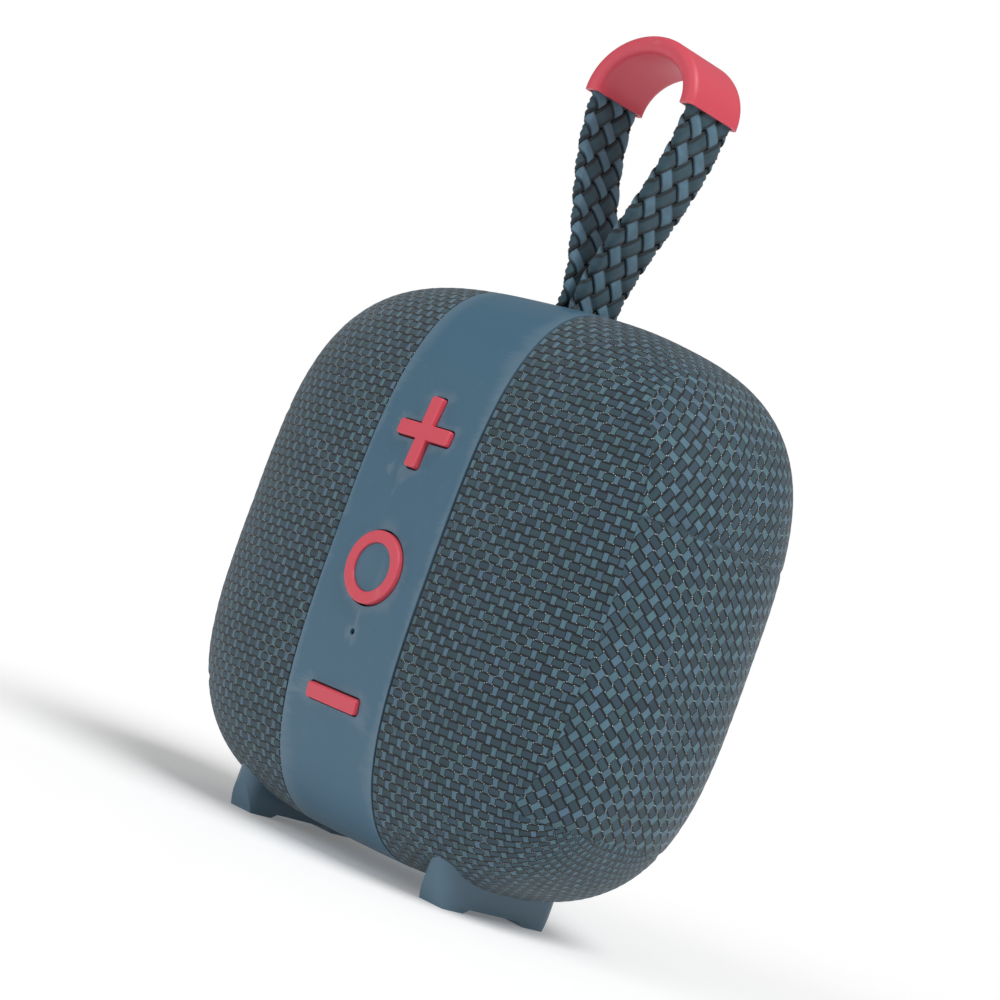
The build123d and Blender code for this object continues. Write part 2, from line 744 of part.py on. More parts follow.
with BuildPart() as board_screws:
    for points, start in ((board_posts, board_y), (port_posts, port_board_y)):
        with BuildSketch(across(start)):
            with Locations(*points):
                Circle(post_screw_radius)
        extrude(amount=-post_screw_length)
        with BuildSketch(across(start)):
            with Locations(*points):
                Circle(post_screw_head)
        extrude(amount=post_screw_head_height)
hand_over(board_screws, "board_screws")


# ---------------------------------------------------------------- battery cell in its cradle
cell_plane = Plane(origin=(-cell_length / 2, cell_y, cell_height), x_dir=(0, 1, 0), z_dir=(1, 0, 0))
bore_radius = cell_radius + running_gap
shell_radius = bore_radius + cradle_wall
with BuildPart() as battery_cell:
    with BuildSketch(cell_plane):
        Circle(cell_radius)
    extrude(amount=cell_length - cell_nub)
    chamfer(battery_cell.edges(), cell_nub / 2)
    with BuildSketch(cell_plane.offset(cell_length - cell_nub)):
        Circle(cell_radius / 3)
    extrude(amount=cell_nub)
hand_over(battery_cell, "battery_cell")

with BuildPart() as cradle_legs:
    with Locations(*[(hand * cradle_leg_x, cell_y, cell_height - far / 2) for hand in (-1, 1)]):
        Box(cradle_leg, shell_radius, far)
    add(cradle_form, mode=Mode.INTERSECT)

with BuildPart() as battery_cradle:
    with BuildSketch(cell_plane.offset(-running_gap - cradle_wall)):
        Circle(shell_radius)
    extrude(amount=cell_length + 2 * (running_gap + cradle_wall))
    with Locations((0, 0, cell_height + far / 2)):
        Box(2 * far, 2 * far, far, mode=Mode.SUBTRACT)
    add(cradle_legs.part)
    with BuildSketch(cell_plane.offset(-running_gap)):
        Circle(bore_radius)
    extrude(amount=cell_length + 2 * running_gap, mode=Mode.SUBTRACT)
hand_over(battery_cradle, "battery_cradle")


# ---------------------------------------------------------------- feet
flat, recess = foot_length / 2, foot_recess_length / 2
sole = -centre_height
foot_profile = [(-flat - foot_flare, 0), (-flat - foot_flare, sole + foot_flare_height), (-flat, sole),
                (-recess - foot_recess_slope, sole), (-recess, sole + foot_recess_depth),
                (recess, sole + foot_recess_depth), (recess + foot_recess_slope, sole), (flat, sole),
                (flat + foot_flare, sole + foot_flare_height), (flat + foot_flare, 0)]
for side in baffle_centres:
    hand = handed(side)
    with BuildPart() as foot:
        add(foot_footprint(hand, 0))
        with BuildSketch(Plane.YZ.offset(-far)):
            with BuildLine():
                Polyline(*[(y + foot_y, z) for y, z in foot_profile], close=True)
            make_face()
        extrude(amount=2 * far, mode=Mode.INTERSECT)
        add(band_core, mode=Mode.SUBTRACT)
        for x, y in foot_pegs:
            if x * hand > 0:
                root_z, tip_z = -height_at(fabric_thickness, x, y), -height_at(cavity_inset, x, y)
                with BuildSketch(Plane.XY.offset(root_z)):
                    with Locations((x, y)):
                        Circle(foot_peg_radius)
                extrude(amount=tip_z - root_z + running_gap)
    hand_over(foot, f"foot_{side}")


# ---------------------------------------------------------------- carry strap
def crown():
    """The round end of the loop, as the two quarters of an ellipse."""
    top = loop_z + strap_crown_rise
    for hand in (-1, 1):
        side = hand * strap_loop_radius
        Bezier((side, loop_z), (side, loop_z + quarter_pull * strap_crown_rise), (quarter_pull * side, top), (0, top))


leg_rise = loop_z - pivot_z
with BuildLine(Plane.XZ) as strap_path:
    for hand in (-1, 1):
        Bezier((hand * strap_neck_half, pivot_z), (hand * strap_neck_half, pivot_z + strap_neck_pull * leg_rise),
               (hand * strap_loop_radius, loop_z - strap_crown_pull * leg_rise), (hand * strap_loop_radius, loop_z))
    crown()
with BuildPart() as strap_loop:
    with BuildSketch(Plane.XY.offset(pivot_z)):
        with Locations((-strap_neck_half, 0)):
            Rectangle(strap_thickness, strap_width)
    sweep(path=strap_path.wires()[0])
    with BuildSketch(across(-strap_width / 2)):
        with Locations((0, pivot_z)):
            Circle(hub_radius)
        with Locations((0, pivot_z + strap_neck_rise / 2)):
            Rectangle(2 * strap_neck_half, strap_neck_rise)
    extrude(amount=-strap_width)
hand_over(strap_loop, "strap_loop")

with BuildPart() as strap_root:
    with BuildSketch(across(-strap_width / 2)):
        with Locations((0, pin_z)):
            Circle(eye_radius)
        with Locations((0, (pin_z + pivot_z - hub_radius - moving_gap) / 2)):
            Rectangle(2 * hub_radius, pivot_z - hub_radius - moving_gap - pin_z)
        with Locations((0, pin_z)):
            Circle(pin_radius + running_gap, mode=Mode.SUBTRACT)
    extrude(amount=-strap_width)
hand_over(strap_root, "strap_root")

with BuildPart() as strap_pin:
    with BuildSketch(across(-pin_length / 2)):
        with Locations((0, pin_z)):
            Circle(pin_radius)
    extrude(amount=-pin_length)
    chamfer(strap_pin.edges(), 0.3)
hand_over(strap_pin, "strap_pin")

grip_start = loop_z - grip_leg
with BuildLine(Plane.XZ) as grip_path:
    Line((-strap_loop_radius, grip_start), (-strap_loop_radius, loop_z))
    crown()
    Line((strap_loop_radius, loop_z), (strap_loop_radius, grip_start))
with BuildPart() as strap_grip:
    with BuildSketch(Plane.XY.offset(grip_start)):
        with Locations((-strap_loop_radius, 0)):
            RectangleRounded(grip_thickness, grip_width, grip_edge)
            Rectangle(strap_thickness + 2 * running_gap, strap_width + 2 * running_gap, mode=Mode.SUBTRACT)
    sweep(path=grip_path.wires()[0])
hand_over(strap_grip, "strap_grip")


# ---------------------------------------------------------------- leads between the boards, the cell and the drivers
def arc_radii(points):
    """Radius of each corner of a lead: 0.45 of the shorter run beside it, over the tangent of half the turn."""
    radii = []
    for before, at, after in zip(points, points[1:], points[2:]):
        run_in, run_out = Vector(*at) - Vector(*before), Vector(*after) - Vector(*at)
        half_turn = math.radians(run_in.get_angle(run_out)) / 2
        radii.append(0.45 * min(run_in.length, run_out.length) / math.tan(half_turn))
    return radii


def lead(points, radius):
    """A round lead along its route, as straight runs joined by arcs."""
    start = Vector(*points[0])
    radii = arc_radii(points)
    print("lead radii", [round(r, 1) for r in radii])
    with BuildPart() as tube:
        with BuildLine():
            FilletPolyline(*points, radius=radii)
        with BuildSketch(Plane(origin=start, z_dir=Vector(*points[1]) - start)):
            Circle(radius)
        sweep()
    return tube.part


cell_end = cell_length / 2 - cell_nub
battery_lead_route = [(cell_end, cell_y, -21.0), (cell_end + 3.6, cell_y, -21.0), (35.6, -1.8, -16.0),
                      (33.5, -1.2, -10.5), (28.6, 0.6, -8.0), (28.6, board_y, -8.0)]
driver_lead_route = [(13.0, board_y, 13.0), (13.0, 1.5, 13.0), (12.0, -2.0, 11.5), (12.0, -5.0, 9.5),
                     (13.0, -6.2, 8.2), (driver_x - waist - 0.05, -6.2, 8.0)]

with BuildPart() as battery_lead:
    add(lead(battery_lead_route, battery_lead_radius))
hand_over(battery_lead, "battery_lead")

with BuildPart() as driver_leads:
    for hand in (-1, 1):
        add(lead([(hand * x, y, z) for x, y, z in driver_lead_route], driver_lead_radius))
hand_over(driver_leads, "driver_leads")

flex_run = board_y - spine_floor_y
flex_route = [(spine_floor_y, flex_height), (spine_floor_y + flex_run / 4, flex_height),
              (spine_floor_y + flex_run / 2, flex_height + flex_slack),
              (board_y - flex_run / 4, flex_height), (board_y, flex_height)]
with BuildPart() as key_flex:
    with BuildLine(Plane.YZ):
        FilletPolyline(*flex_route, radius=flex_bend)
    with BuildSketch(Plane(origin=(0, spine_floor_y, flex_height), x_dir=(1, 0, 0), z_dir=(0, 1, 0))):
        Rectangle(flex_width, flex_thickness)
    sweep()
hand_over(key_flex, "key_flex")
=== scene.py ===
"""Builds the looks of a pocket wireless speaker around its fixed frame: woven cheeks, rubber band, keys,
braided carry loop, rubber grip and feet. Lengths inside the helpers are in metres."""

import json
import math

import bpy
import numpy as np
from bpy.props import FloatProperty, FloatVectorProperty, IntProperty, PointerProperty
from bpy.types import Operator, Panel, PropertyGroup
from mathutils import Matrix, Vector


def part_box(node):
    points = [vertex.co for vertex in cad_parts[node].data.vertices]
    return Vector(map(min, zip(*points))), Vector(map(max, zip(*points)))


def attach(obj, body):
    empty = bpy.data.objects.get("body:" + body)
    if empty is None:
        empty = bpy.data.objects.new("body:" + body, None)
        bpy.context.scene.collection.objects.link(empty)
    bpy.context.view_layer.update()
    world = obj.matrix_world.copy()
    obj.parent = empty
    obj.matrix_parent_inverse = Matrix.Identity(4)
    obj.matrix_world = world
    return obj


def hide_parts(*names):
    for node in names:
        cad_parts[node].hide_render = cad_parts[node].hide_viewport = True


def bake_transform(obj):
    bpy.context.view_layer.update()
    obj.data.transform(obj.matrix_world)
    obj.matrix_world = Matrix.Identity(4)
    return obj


bl_info = {
    "name": "Pocket Speaker Looks",
    "version": (1, 0, 0),
    "blender": (4, 5, 0),
    "location": "View3D > Sidebar > Speaker",
    "description": "Builds the cloth, rubber and braid of a pocket speaker around its frame",
    "category": "Object",
}

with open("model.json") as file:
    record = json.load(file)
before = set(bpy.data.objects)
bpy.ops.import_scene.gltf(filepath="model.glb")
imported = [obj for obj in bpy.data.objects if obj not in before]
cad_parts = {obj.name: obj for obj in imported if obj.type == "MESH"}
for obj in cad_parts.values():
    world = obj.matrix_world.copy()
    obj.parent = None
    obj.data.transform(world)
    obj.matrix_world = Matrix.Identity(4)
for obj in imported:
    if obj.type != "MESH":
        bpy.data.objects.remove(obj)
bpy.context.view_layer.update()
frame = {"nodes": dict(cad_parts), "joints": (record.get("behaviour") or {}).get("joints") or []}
MM = 0.001

# ---------------------------------------------------------------- the body's form, read from the frame
BAND_LOW, BAND_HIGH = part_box("control_band")
CHEEK_LOW, CHEEK_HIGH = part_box("fabric_right")
CENTRE_Z = (BAND_LOW.z + BAND_HIGH.z) / 2
HALF = np.array([CHEEK_HIGH.x, BAND_HIGH.y, (BAND_HIGH.z - BAND_LOW.z) / 2])
OUTLINE_POWER, DEPTH_POWER = 3.45, 3.04  # how square the form is seen from the front, and in depth
FARTHEST, HALVINGS = 2.0, 42  # reach of the rays on to the form, and how often it is halved
CHEEK_START = CHEEK_LOW.x


def form_value(points, inset=0.0):
    """1 on the body's form drawn in by inset, less inside it and more outside it."""
    reach = np.abs(points) / (HALF - inset)
    outline = reach[..., 0] ** OUTLINE_POWER + reach[..., 2] ** OUTLINE_POWER
    return outline ** (DEPTH_POWER / OUTLINE_POWER) + reach[..., 1] ** DEPTH_POWER


def on_form(anchor, direction, inset=0.0):
    """Points of the form along the rays from anchor, found by halving."""
    near, far = np.zeros(direction.shape[:-1]), np.full(direction.shape[:-1], FARTHEST)
    for _ in range(HALVINGS):
        middle = (near + far) / 2
        outside = form_value(anchor + direction * middle[..., None], inset) > 1
        far = np.where(outside, middle, far)
        near = np.where(outside, near, middle)
    return anchor + direction * near[..., None]


def form_normal(points):
    """Outward normals of the form, from its gradient."""
    step = 1e-6
    slopes = [form_value(points + step * way) - form_value(points - step * way) for way in np.eye(3)]
    normals = np.stack(slopes, axis=-1)
    return normals / np.linalg.norm(normals, axis=-1, keepdims=True)


def lifted(points):
    """Body-centred points moved up on to the feet."""
    return points + np.array([0.0, 0.0, CENTRE_Z])


def smooth_step(value):
    value = np.clip(value, 0.0, 1.0)
    return value * value * (3 - 2 * value)


# ---------------------------------------------------------------- mesh helpers
def make_piece(name, points, faces, material):
    """A smooth-shaded mesh object from points and faces, with one material."""
    mesh = bpy.data.meshes.new(name)
    corners = [[int(number) for number in face] for face in faces]
    mesh.from_pydata(np.asarray(points, float).reshape(-1, 3).tolist(), [], corners)
    mesh.validate()
    mesh.polygons.foreach_set("use_smooth", np.ones(len(mesh.polygons), bool))
    mesh.materials.append(material)
    mesh.update()
    piece = bpy.data.objects.new(name, mesh)
    bpy.context.scene.collection.objects.link(piece)
    return piece


def mark_places(piece, label, places):
    """Store a place in the weave at each point of the mesh, as a UV map."""
    corners = np.zeros(len(piece.data.loops), int)
    piece.data.loops.foreach_get("vertex_index", corners)
    layer = piece.data.uv_layers.new(name=label)
    layer.data.foreach_set("uv", places[corners].astype(np.float32).reshape(-1))


def grid_faces(rows, columns, closed=False):
    """Quads of a grid of rows by columns points, whose last column joins the first if it is closed."""
    r, c = np.meshgrid(np.arange(rows - 1), np.arange(columns if closed else columns - 1), indexing="ij")
    r, c = r.reshape(-1), c.reshape(-1)
    r2, c2 = r + 1, (c + 1) % columns
    return np.stack([r * columns + c, r * columns + c2, r2 * columns + c2, r2 * columns + c], axis=1)


def settle(piece, body, slot, *nodes):
    """Give a finished piece its body and hide the frame's nodes that it stands for; slot is not used."""
    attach(piece, body)
    if nodes:
        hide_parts(*nodes)
    return piece


# ---------------------------------------------------------------- shader helpers
def build_group(name, inputs, outputs):
    """An empty shader node group with named sockets, and its input and output nodes."""
    group = bpy.data.node_groups.new(name, "ShaderNodeTree")
    for label, kind, default in inputs:
        socket = group.interface.new_socket(label, in_out="INPUT", socket_type=kind)
        if default is not None:
            socket.default_value = default
    for label, kind in outputs:
        group.interface.new_socket(label, in_out="OUTPUT", socket_type=kind)
    return group, group.nodes.new("NodeGroupInput"), group.nodes.new("NodeGroupOutput")


class Graph:
    """Short forms for placing and joining the nodes of one tree."""

    def __init__(self, tree):
        self.tree = tree

    def node(self, kind, **settings):
        made = self.tree.nodes.new(kind)
        for key, value in settings.items():
            setattr(made, key, value)
        return made

    def feed(self, socket, value):
        if isinstance(value, bpy.types.NodeSocket):
            self.tree.links.new(value, socket)
        else:
            socket.default_value = value

    def math(self, operation, *values):
        made = self.node("ShaderNodeMath", operation=operation)
        for socket, value in zip(made.inputs, values):
            self.feed(socket, value)
        return made.outputs[0]

    def vector(self, operation, *values):
        made = self.node("ShaderNodeVectorMath", operation=operation)
        for socket, value in zip(made.inputs, values):
            self.feed(socket, value)
        return made.outputs["Value" if operation in ("LENGTH", "DOT_PRODUCT") else "Vector"]

    def ramp(self, value, low, high, to_low=0.0, to_high=1.0):
        made = self.node("ShaderNodeMapRange", interpolation_type="SMOOTHSTEP")
        for socket, given in zip(made.inputs, (value, low, high, to_low, to_high)):
            self.feed(socket, given)
        return made.outputs[0]

    def mix(self, share, first, second, blend="MIX"):
        made = self.node("ShaderNodeMix", data_type="RGBA", blend_type=blend)
        self.feed(made.inputs[0], share)
        self.feed(made.inputs[6], first)
        self.feed(made.inputs[7], second)
        return made.outputs[2]

    def noise(self, place, scale, detail=2.0, roughness=0.5):
        made = self.node("ShaderNodeTexNoise")
        self.feed(made.inputs["Vector"], place)
        self.feed(made.inputs["Scale"], scale)
        made.inputs["Detail"].default_value = detail
        made.inputs["Roughness"].default_value = roughness
        return made.outputs["Fac"]


def thread_group():
    """Plain weave of dark threads along u and light threads along v: colour, height and roughness."""
    group, given, result = build_group("woven threads", [
        ("Thread Place", "NodeSocketVector", None),
        ("Dark Thread", "NodeSocketColor", (0.02, 0.04, 0.05, 1)),
        ("Light Thread", "NodeSocketColor", (0.06, 0.1, 0.13, 1)),
        ("Gap", "NodeSocketColor", (0.004, 0.008, 0.01, 1)),
        ("Dark Half Width", "NodeSocketFloat", 0.38),
        ("Light Half Width", "NodeSocketFloat", 0.34),
        ("Variation", "NodeSocketFloat", 0.5),
        ("Sparkle", "NodeSocketFloat", 0.5),
        ("Fibre Scale", "NodeSocketFloat", 9.0),
    ], [("Color", "NodeSocketColor"), ("Height", "NodeSocketFloat"), ("Roughness", "NodeSocketFloat")])
    g = Graph(group)
    place = given.outputs["Thread Place"]
    cell = g.vector("FLOOR", place)
    inside = g.vector("SUBTRACT", g.vector("SUBTRACT", place, cell), (0.5, 0.5, 0.5))
    split = g.node("ShaderNodeSeparateXYZ")
    g.feed(split.inputs[0], inside)
    u, v = split.outputs[0], split.outputs[1]
    corner = g.node("ShaderNodeSeparateXYZ")
    g.feed(corner.inputs[0], cell)
    parity = g.math("FLOORED_MODULO", g.math("ADD", corner.outputs[0], corner.outputs[1]), 2.0)
    light_cell = g.math("GREATER_THAN", parity, 0.5)
    across_u, across_v = g.math("ABSOLUTE", u), g.math("ABSOLUTE", v)
    light_edge = g.math("SUBTRACT", given.outputs["Light Half Width"], across_u)
    on_light = g.math("MULTIPLY", light_cell, g.math("GREATER_THAN", light_edge, 0.0))
    dark_edge = g.math("SUBTRACT", given.outputs["Dark Half Width"], across_v)
    # which float this point lies on: a dark float runs on into the light cells at its ends
    side = g.math("MULTIPLY", g.math("SIGN", u), g.math("SUBTRACT", light_cell, on_light))
    owner = g.node("ShaderNodeCombineXYZ")
    g.feed(owner.inputs[0], g.math("ADD", corner.outputs[0], side))
    g.feed(owner.inputs[1], corner.outputs[1])
    chance = g.node("ShaderNodeTexWhiteNoise", noise_dimensions="3D")
    g.feed(chance.inputs["Vector"], owner.outputs[0])
    tint = g.node("ShaderNodeSeparateColor")
    g.feed(tint.inputs[0], chance.outputs["Color"])
    # soft threads: rounded across, with painted shade in a narrow gap along each edge
    light_round = g.ramp(light_edge, 0.0, 0.09)
    light_end = g.ramp(across_v, 0.5, 0.40)
    dark_round = g.ramp(dark_edge, 0.0, 0.09)
    light_rise = g.math("MULTIPLY", light_round, light_end)
    end_dip = g.ramp(g.math("SUBTRACT", across_u, given.outputs["Light Half Width"]), 0.0, 0.08)
    dark_in_light = g.math("MULTIPLY", dark_round, end_dip)
    dark_rise = g.math("ADD", g.math("MULTIPLY", dark_in_light, light_cell),
                       g.math("MULTIPLY", dark_round, g.math("SUBTRACT", 1.0, light_cell)))
    rise = g.math("ADD", g.math("MULTIPLY", light_rise, on_light),
                  g.math("MULTIPLY", dark_rise, g.math("SUBTRACT", 1.0, on_light)))
    # fibres run along each thread
    along = g.node("ShaderNodeMix", data_type="VECTOR")
    g.feed(along.inputs[0], on_light)
    g.feed(along.inputs[4], g.vector("MULTIPLY", place, (0.35, 3.0, 1.0)))
    g.feed(along.inputs[5], g.vector("MULTIPLY", place, (3.0, 0.35, 1.0)))
    fibre = g.noise(along.outputs[1], given.outputs["Fibre Scale"], 3.0, 0.6)
    base = g.mix(on_light, given.outputs["Dark Thread"], given.outputs["Light Thread"])
    shade = g.math("ADD", 1.0, g.math("MULTIPLY", given.outputs["Variation"],
                                      g.math("SUBTRACT", tint.outputs[0], 0.5)))
    shade = g.math("MULTIPLY", shade, g.ramp(fibre, 0.2, 0.8, 0.84, 1.16))
    cool = g.mix(tint.outputs[1], (0.93, 1.05, 0.98, 1), (0.96, 0.95, 1.12, 1))
    grey = g.node("ShaderNodeCombineColor")
    for socket in grey.inputs[:3]:
        g.feed(socket, shade)
    tinted = g.mix(1.0, g.mix(0.9, base, cool, "MULTIPLY"), grey.outputs[0], "MULTIPLY")
    # painted shade: the gap colour darkens the thread edges and the gaps between the threads
    colour = g.mix(rise, given.outputs["Gap"], tinted)
    # painted highlight: pale specks painted into the colour at some crossings, where a fibre would catch the
    # light
    du = g.math("SUBTRACT", across_u, g.math("ADD", given.outputs["Light Half Width"], 0.03))
    dv = g.math("SUBTRACT", across_v, 0.44)
    spot = g.math("SQRT", g.math("ADD", g.math("MULTIPLY", du, du), g.math("MULTIPLY", dv, dv)))
    glint = g.math("MULTIPLY", g.math("LESS_THAN", spot, 0.055), g.math("GREATER_THAN", tint.outputs[2], 0.62))
    glint = g.math("MULTIPLY", g.math("MULTIPLY", glint, light_cell), given.outputs["Sparkle"])
    colour = g.mix(glint, colour, (0.55, 0.62, 0.65, 1))
    g.feed(result.inputs["Color"], colour)
    g.feed(result.inputs["Height"], g.math("ADD", rise, g.math("MULTIPLY", fibre, 0.18)))
    g.feed(result.inputs["Roughness"], g.ramp(fibre, 0.2, 0.8, 0.62, 0.82))
    return group


def moulded_group():
    """Moulded rubber or plastic: tone drift, fine grain, pale dust in scattered patches and paler worn edges.
    """
    group, given, result = build_group("moulded surface", [
        ("Base", "NodeSocketColor", (0.1, 0.1, 0.1, 1)),
        ("Grain Scale", "NodeSocketFloat", 2500.0),
        ("Tone Drift", "NodeSocketFloat", 0.08),
        ("Edge Wear", "NodeSocketFloat", 0.2),
        ("Roughness", "NodeSocketFloat", 0.5),
    ], [("Color", "NodeSocketColor"), ("Height", "NodeSocketFloat"), ("Roughness", "NodeSocketFloat")])
    g = Graph(group)
    place = g.node("ShaderNodeTexCoord").outputs["Object"]
    drift = g.noise(place, 60.0, 3.0)
    grain = g.noise(place, given.outputs["Grain Scale"], 2.0, 0.7)
    dust = g.ramp(g.noise(place, 700.0, 4.0, 0.65), 0.60, 0.78)
    edge = g.ramp(g.node("ShaderNodeNewGeometry").outputs["Pointiness"], 0.52, 0.60)
    edge = g.math("MULTIPLY", edge, given.outputs["Edge Wear"])
    tone = g.math("ADD", 1.0, g.math("MULTIPLY", given.outputs["Tone Drift"], g.math("SUBTRACT", drift, 0.5)))
    grey = g.node("ShaderNodeCombineColor")
    for socket in grey.inputs[:3]:
        g.feed(socket, tone)
    colour = g.mix(1.0, given.outputs["Base"], grey.outputs[0], "MULTIPLY")
    paler = g.mix(0.35, colour, (0.55, 0.58, 0.6, 1))
    colour = g.mix(edge, colour, paler)
    colour = g.mix(g.math("MULTIPLY", dust, 0.05), colour, (0.6, 0.6, 0.58, 1))
    g.feed(result.inputs["Color"], colour)
    g.feed(result.inputs["Height"], grain)
    rough = g.math("ADD", given.outputs["Roughness"], g.math("MULTIPLY", g.math("SUBTRACT", drift, 0.5), 0.12))
    g.feed(result.inputs["Roughness"], g.math("ADD", rough, g.math("MULTIPLY", dust, 0.1)))
    return group


def brushed_group():
    """Metal: fine turning or rolling lines, faint stains and brighter rubbed edges."""
    group, given, result = build_group("brushed metal", [
        ("Base", "NodeSocketColor", (0.6, 0.6, 0.6, 1)),
        ("Line Stretch", "NodeSocketVector", (1.0, 1.0, 12.0)),
        ("Roughness", "NodeSocketFloat", 0.35),
    ], [("Color", "NodeSocketColor"), ("Height", "NodeSocketFloat"), ("Roughness", "NodeSocketFloat")])
    g = Graph(group)
    place = g.node("ShaderNodeTexCoord").outputs["Object"]
    lines = g.noise(g.vector("MULTIPLY", place, given.outputs["Line Stretch"]), 1500.0, 3.0, 0.6)
    stain = g.noise(place, 220.0, 4.0, 0.6)
    edge = g.ramp(g.node("ShaderNodeNewGeometry").outputs["Pointiness"], 0.52, 0.62)
    colour = g.mix(g.ramp(stain, 0.45, 0.75, 0.0, 0.25), given.outputs["Base"], (0.2, 0.19, 0.17, 1))
    colour = g.mix(g.math("MULTIPLY", edge, 0.4), colour, (0.85, 0.85, 0.85, 1))
    g.feed(result.inputs["Color"], colour)
    g.feed(result.inputs["Height"], lines)
    rough = g.math("ADD", given.outputs["Roughness"], g.math("MULTIPLY", g.math("SUBTRACT", lines, 0.5), 0.2))
    g.feed(result.inputs["Roughness"], g.math("ADD", rough, g.math("MULTIPLY", stain, 0.08)))
    return group


def shared_group(name, builder):
    """The named node group, built the first time it is asked for."""
    return bpy.data.node_groups.get(name) or builder()


def surface(name, group, values, bump=0.2, distance=0.0001, constants=None):
    """A material whose group feeds Base Color, Roughness and a Bump, with constants on the shader itself."""
    found = bpy.data.materials.get(name)
    if found:
        return found
    material = bpy.data.materials.new(name)
    material.use_nodes = True
    g = Graph(material.node_tree)
    shader = material.node_tree.nodes["Principled BSDF"]
    effect = g.node("ShaderNodeGroup", node_tree=group)
    for label, value in values.items():
        g.feed(effect.inputs[label], value)
    g.feed(shader.inputs["Base Color"], effect.outputs["Color"])
    g.feed(shader.inputs["Roughness"], effect.outputs["Roughness"])
    relief = g.node("ShaderNodeBump")
    relief.inputs["Strength"].default_value = bump
    relief.inputs["Distance"].default_value = distance
    g.feed(relief.inputs["Height"], effect.outputs["Height"])
    g.feed(shader.inputs["Normal"], relief.outputs[0])
    for label, value in (constants or {}).items():
        shader.inputs[label].default_value = value
    return material


def moulded(name, colour, roughness=0.5, grain=2500.0, bump=0.12, wear=0.2, **constants):
    group = shared_group("moulded surface", moulded_group)
    values = {"Base": (*colour, 1), "Grain Scale": grain, "Edge Wear": wear, "Roughness": roughness}
    return surface(name, group, values, bump, constants=constants)


def metal(name, colour, roughness=0.35, stretch=(1.0, 1.0, 12.0), **constants):
    group = shared_group("brushed metal", brushed_group)
    values = {"Base": (*colour, 1), "Line Stretch": stretch, "Roughness": roughness}
    return surface(name, group, values, 0.15, constants={"Metallic": 1.0, **constants})


# ---------------------------------------------------------------- sizes and colours a user may change
def tone(red, green, blue):
    """Linear colour from the usual 0 to 255 screen values."""
    shares = (value / 255 for value in (red, green, blue))
    return tuple(s / 12.92 if s <= 0.04045 else ((s + 0.055) / 1.055) ** 2.4 for s in shares)


def colour(name, about, default):
    return FloatVectorProperty(name=name, description=about, default=default, subtype="COLOR", min=0.0, max=1.0)


def length(name, about, default, low=0.0, high=0.1):
    return FloatProperty(name=name, description=about, default=default, unit="LENGTH", subtype="DISTANCE",
                         min=low, max=high, precision=5)


class SpeakerColours(PropertyGroup):
    """Finishes of the speaker's visible pieces."""
    cloth_dark: colour("Dark Thread", "Threads of the cheeks that lie level on the front", tone(44, 66, 76))
    cloth_light: colour("Light Thread", "Threads of the cheeks that stand upright on the front",
                        tone(72, 100, 112))
    cloth_gap_shade: colour("Cloth Gap", "Shade between the threads of the cheeks", tone(9, 15, 19))
    band: colour("Band", "Moulded band, port flap and feet", tone(60, 98, 120))
    red: colour("Red Rubber", "Keys and the grip of the carry loop", tone(206, 72, 88))
    braid_dark: colour("Dark Strand", "Strands of the braid that lean to the left", tone(44, 72, 84))
    braid_light: colour("Light Strand", "Strands of the braid that lean to the right", tone(80, 112, 130))


class SpeakerSizes(PropertyGroup):
    """Sizes of the cloth, the braid and the stage."""
    level_pitch: length("Upright Thread Pitch", "Distance between upright threads on the front", 1.475 * MM)
    row_pitch: length("Row Pitch", "Distance between level threads on the front", 1.525 * MM)
    slope_pitch: length("Sloping Thread Pitch", "Distance between the threads on the side", 1.69 * MM)
    relief: length("Thread Relief", "How far the threads stand out of the cloth", 0.16 * MM, high=0.001)
    crease: length("Crease Depth", "Depth of the folds where the weave turns", 0.22 * MM, high=0.001)
    strands: IntProperty(name="Strands Each Way", description="Strands of the braid in each direction",
                         default=5, min=3, max=16)
    strand_width: length("Strand Width", "Width of a dark strand", 3.3 * MM)
    strand_thickness: length("Strand Thickness", "Thickness of a strand", 0.42 * MM)
    floor_width: length("Floor Width", "Width of the floor", 12.0, high=40.0)


def settings():
    scene = bpy.context.scene
    return scene.speaker_colours, scene.speaker_sizes


# ---------------------------------------------------------------- cheeks
CREASE_Y = 18.6 * MM  # the upright folds before and behind the side panel
SEAM_Z = 18.0 * MM  # the level fold over the side panel, above the body's middle
PANEL_FOOT_Z = -33.0 * MM  # the lower end of the side panel
PANEL_REACH = 0.72  # share of the half width beyond which a point lies on the side panel
CREASE_SPREAD = 0.5 * MM
FALLING, STEEP = math.radians(-38), math.radians(60)  # slopes of the side panel's threads
MATCH_HIGH = (-21 * MM, 31 * MM)  # depth and height where the panel's weaves meet the front's
MATCH_LOW = (-20 * MM, -38 * MM)
CHEEK_ROWS, CHEEK_COLUMNS, LINING_STEP = 416, 224, 8
SIDE_STEPS = 24
CLOTH_THICKNESS = 0.95 * MM
PLAIN_EDGE = 0.9 * MM  # the threads rise over this length from the edge beside the band
EDGE_ROLL, EDGE_DROP = 0.6 * MM, 0.45 * MM  # width and depth of the edge's rounding
FRONT_THREADS = {"Dark Half Width": 0.37, "Light Half Width": 0.34}
SIDE_THREADS = {"Dark Half Width": 0.38, "Light Half Width": 0.40}
CLOTH_LOOK = {"Variation": 0.42, "Sparkle": 0.8, "Fibre Scale": 5.0}


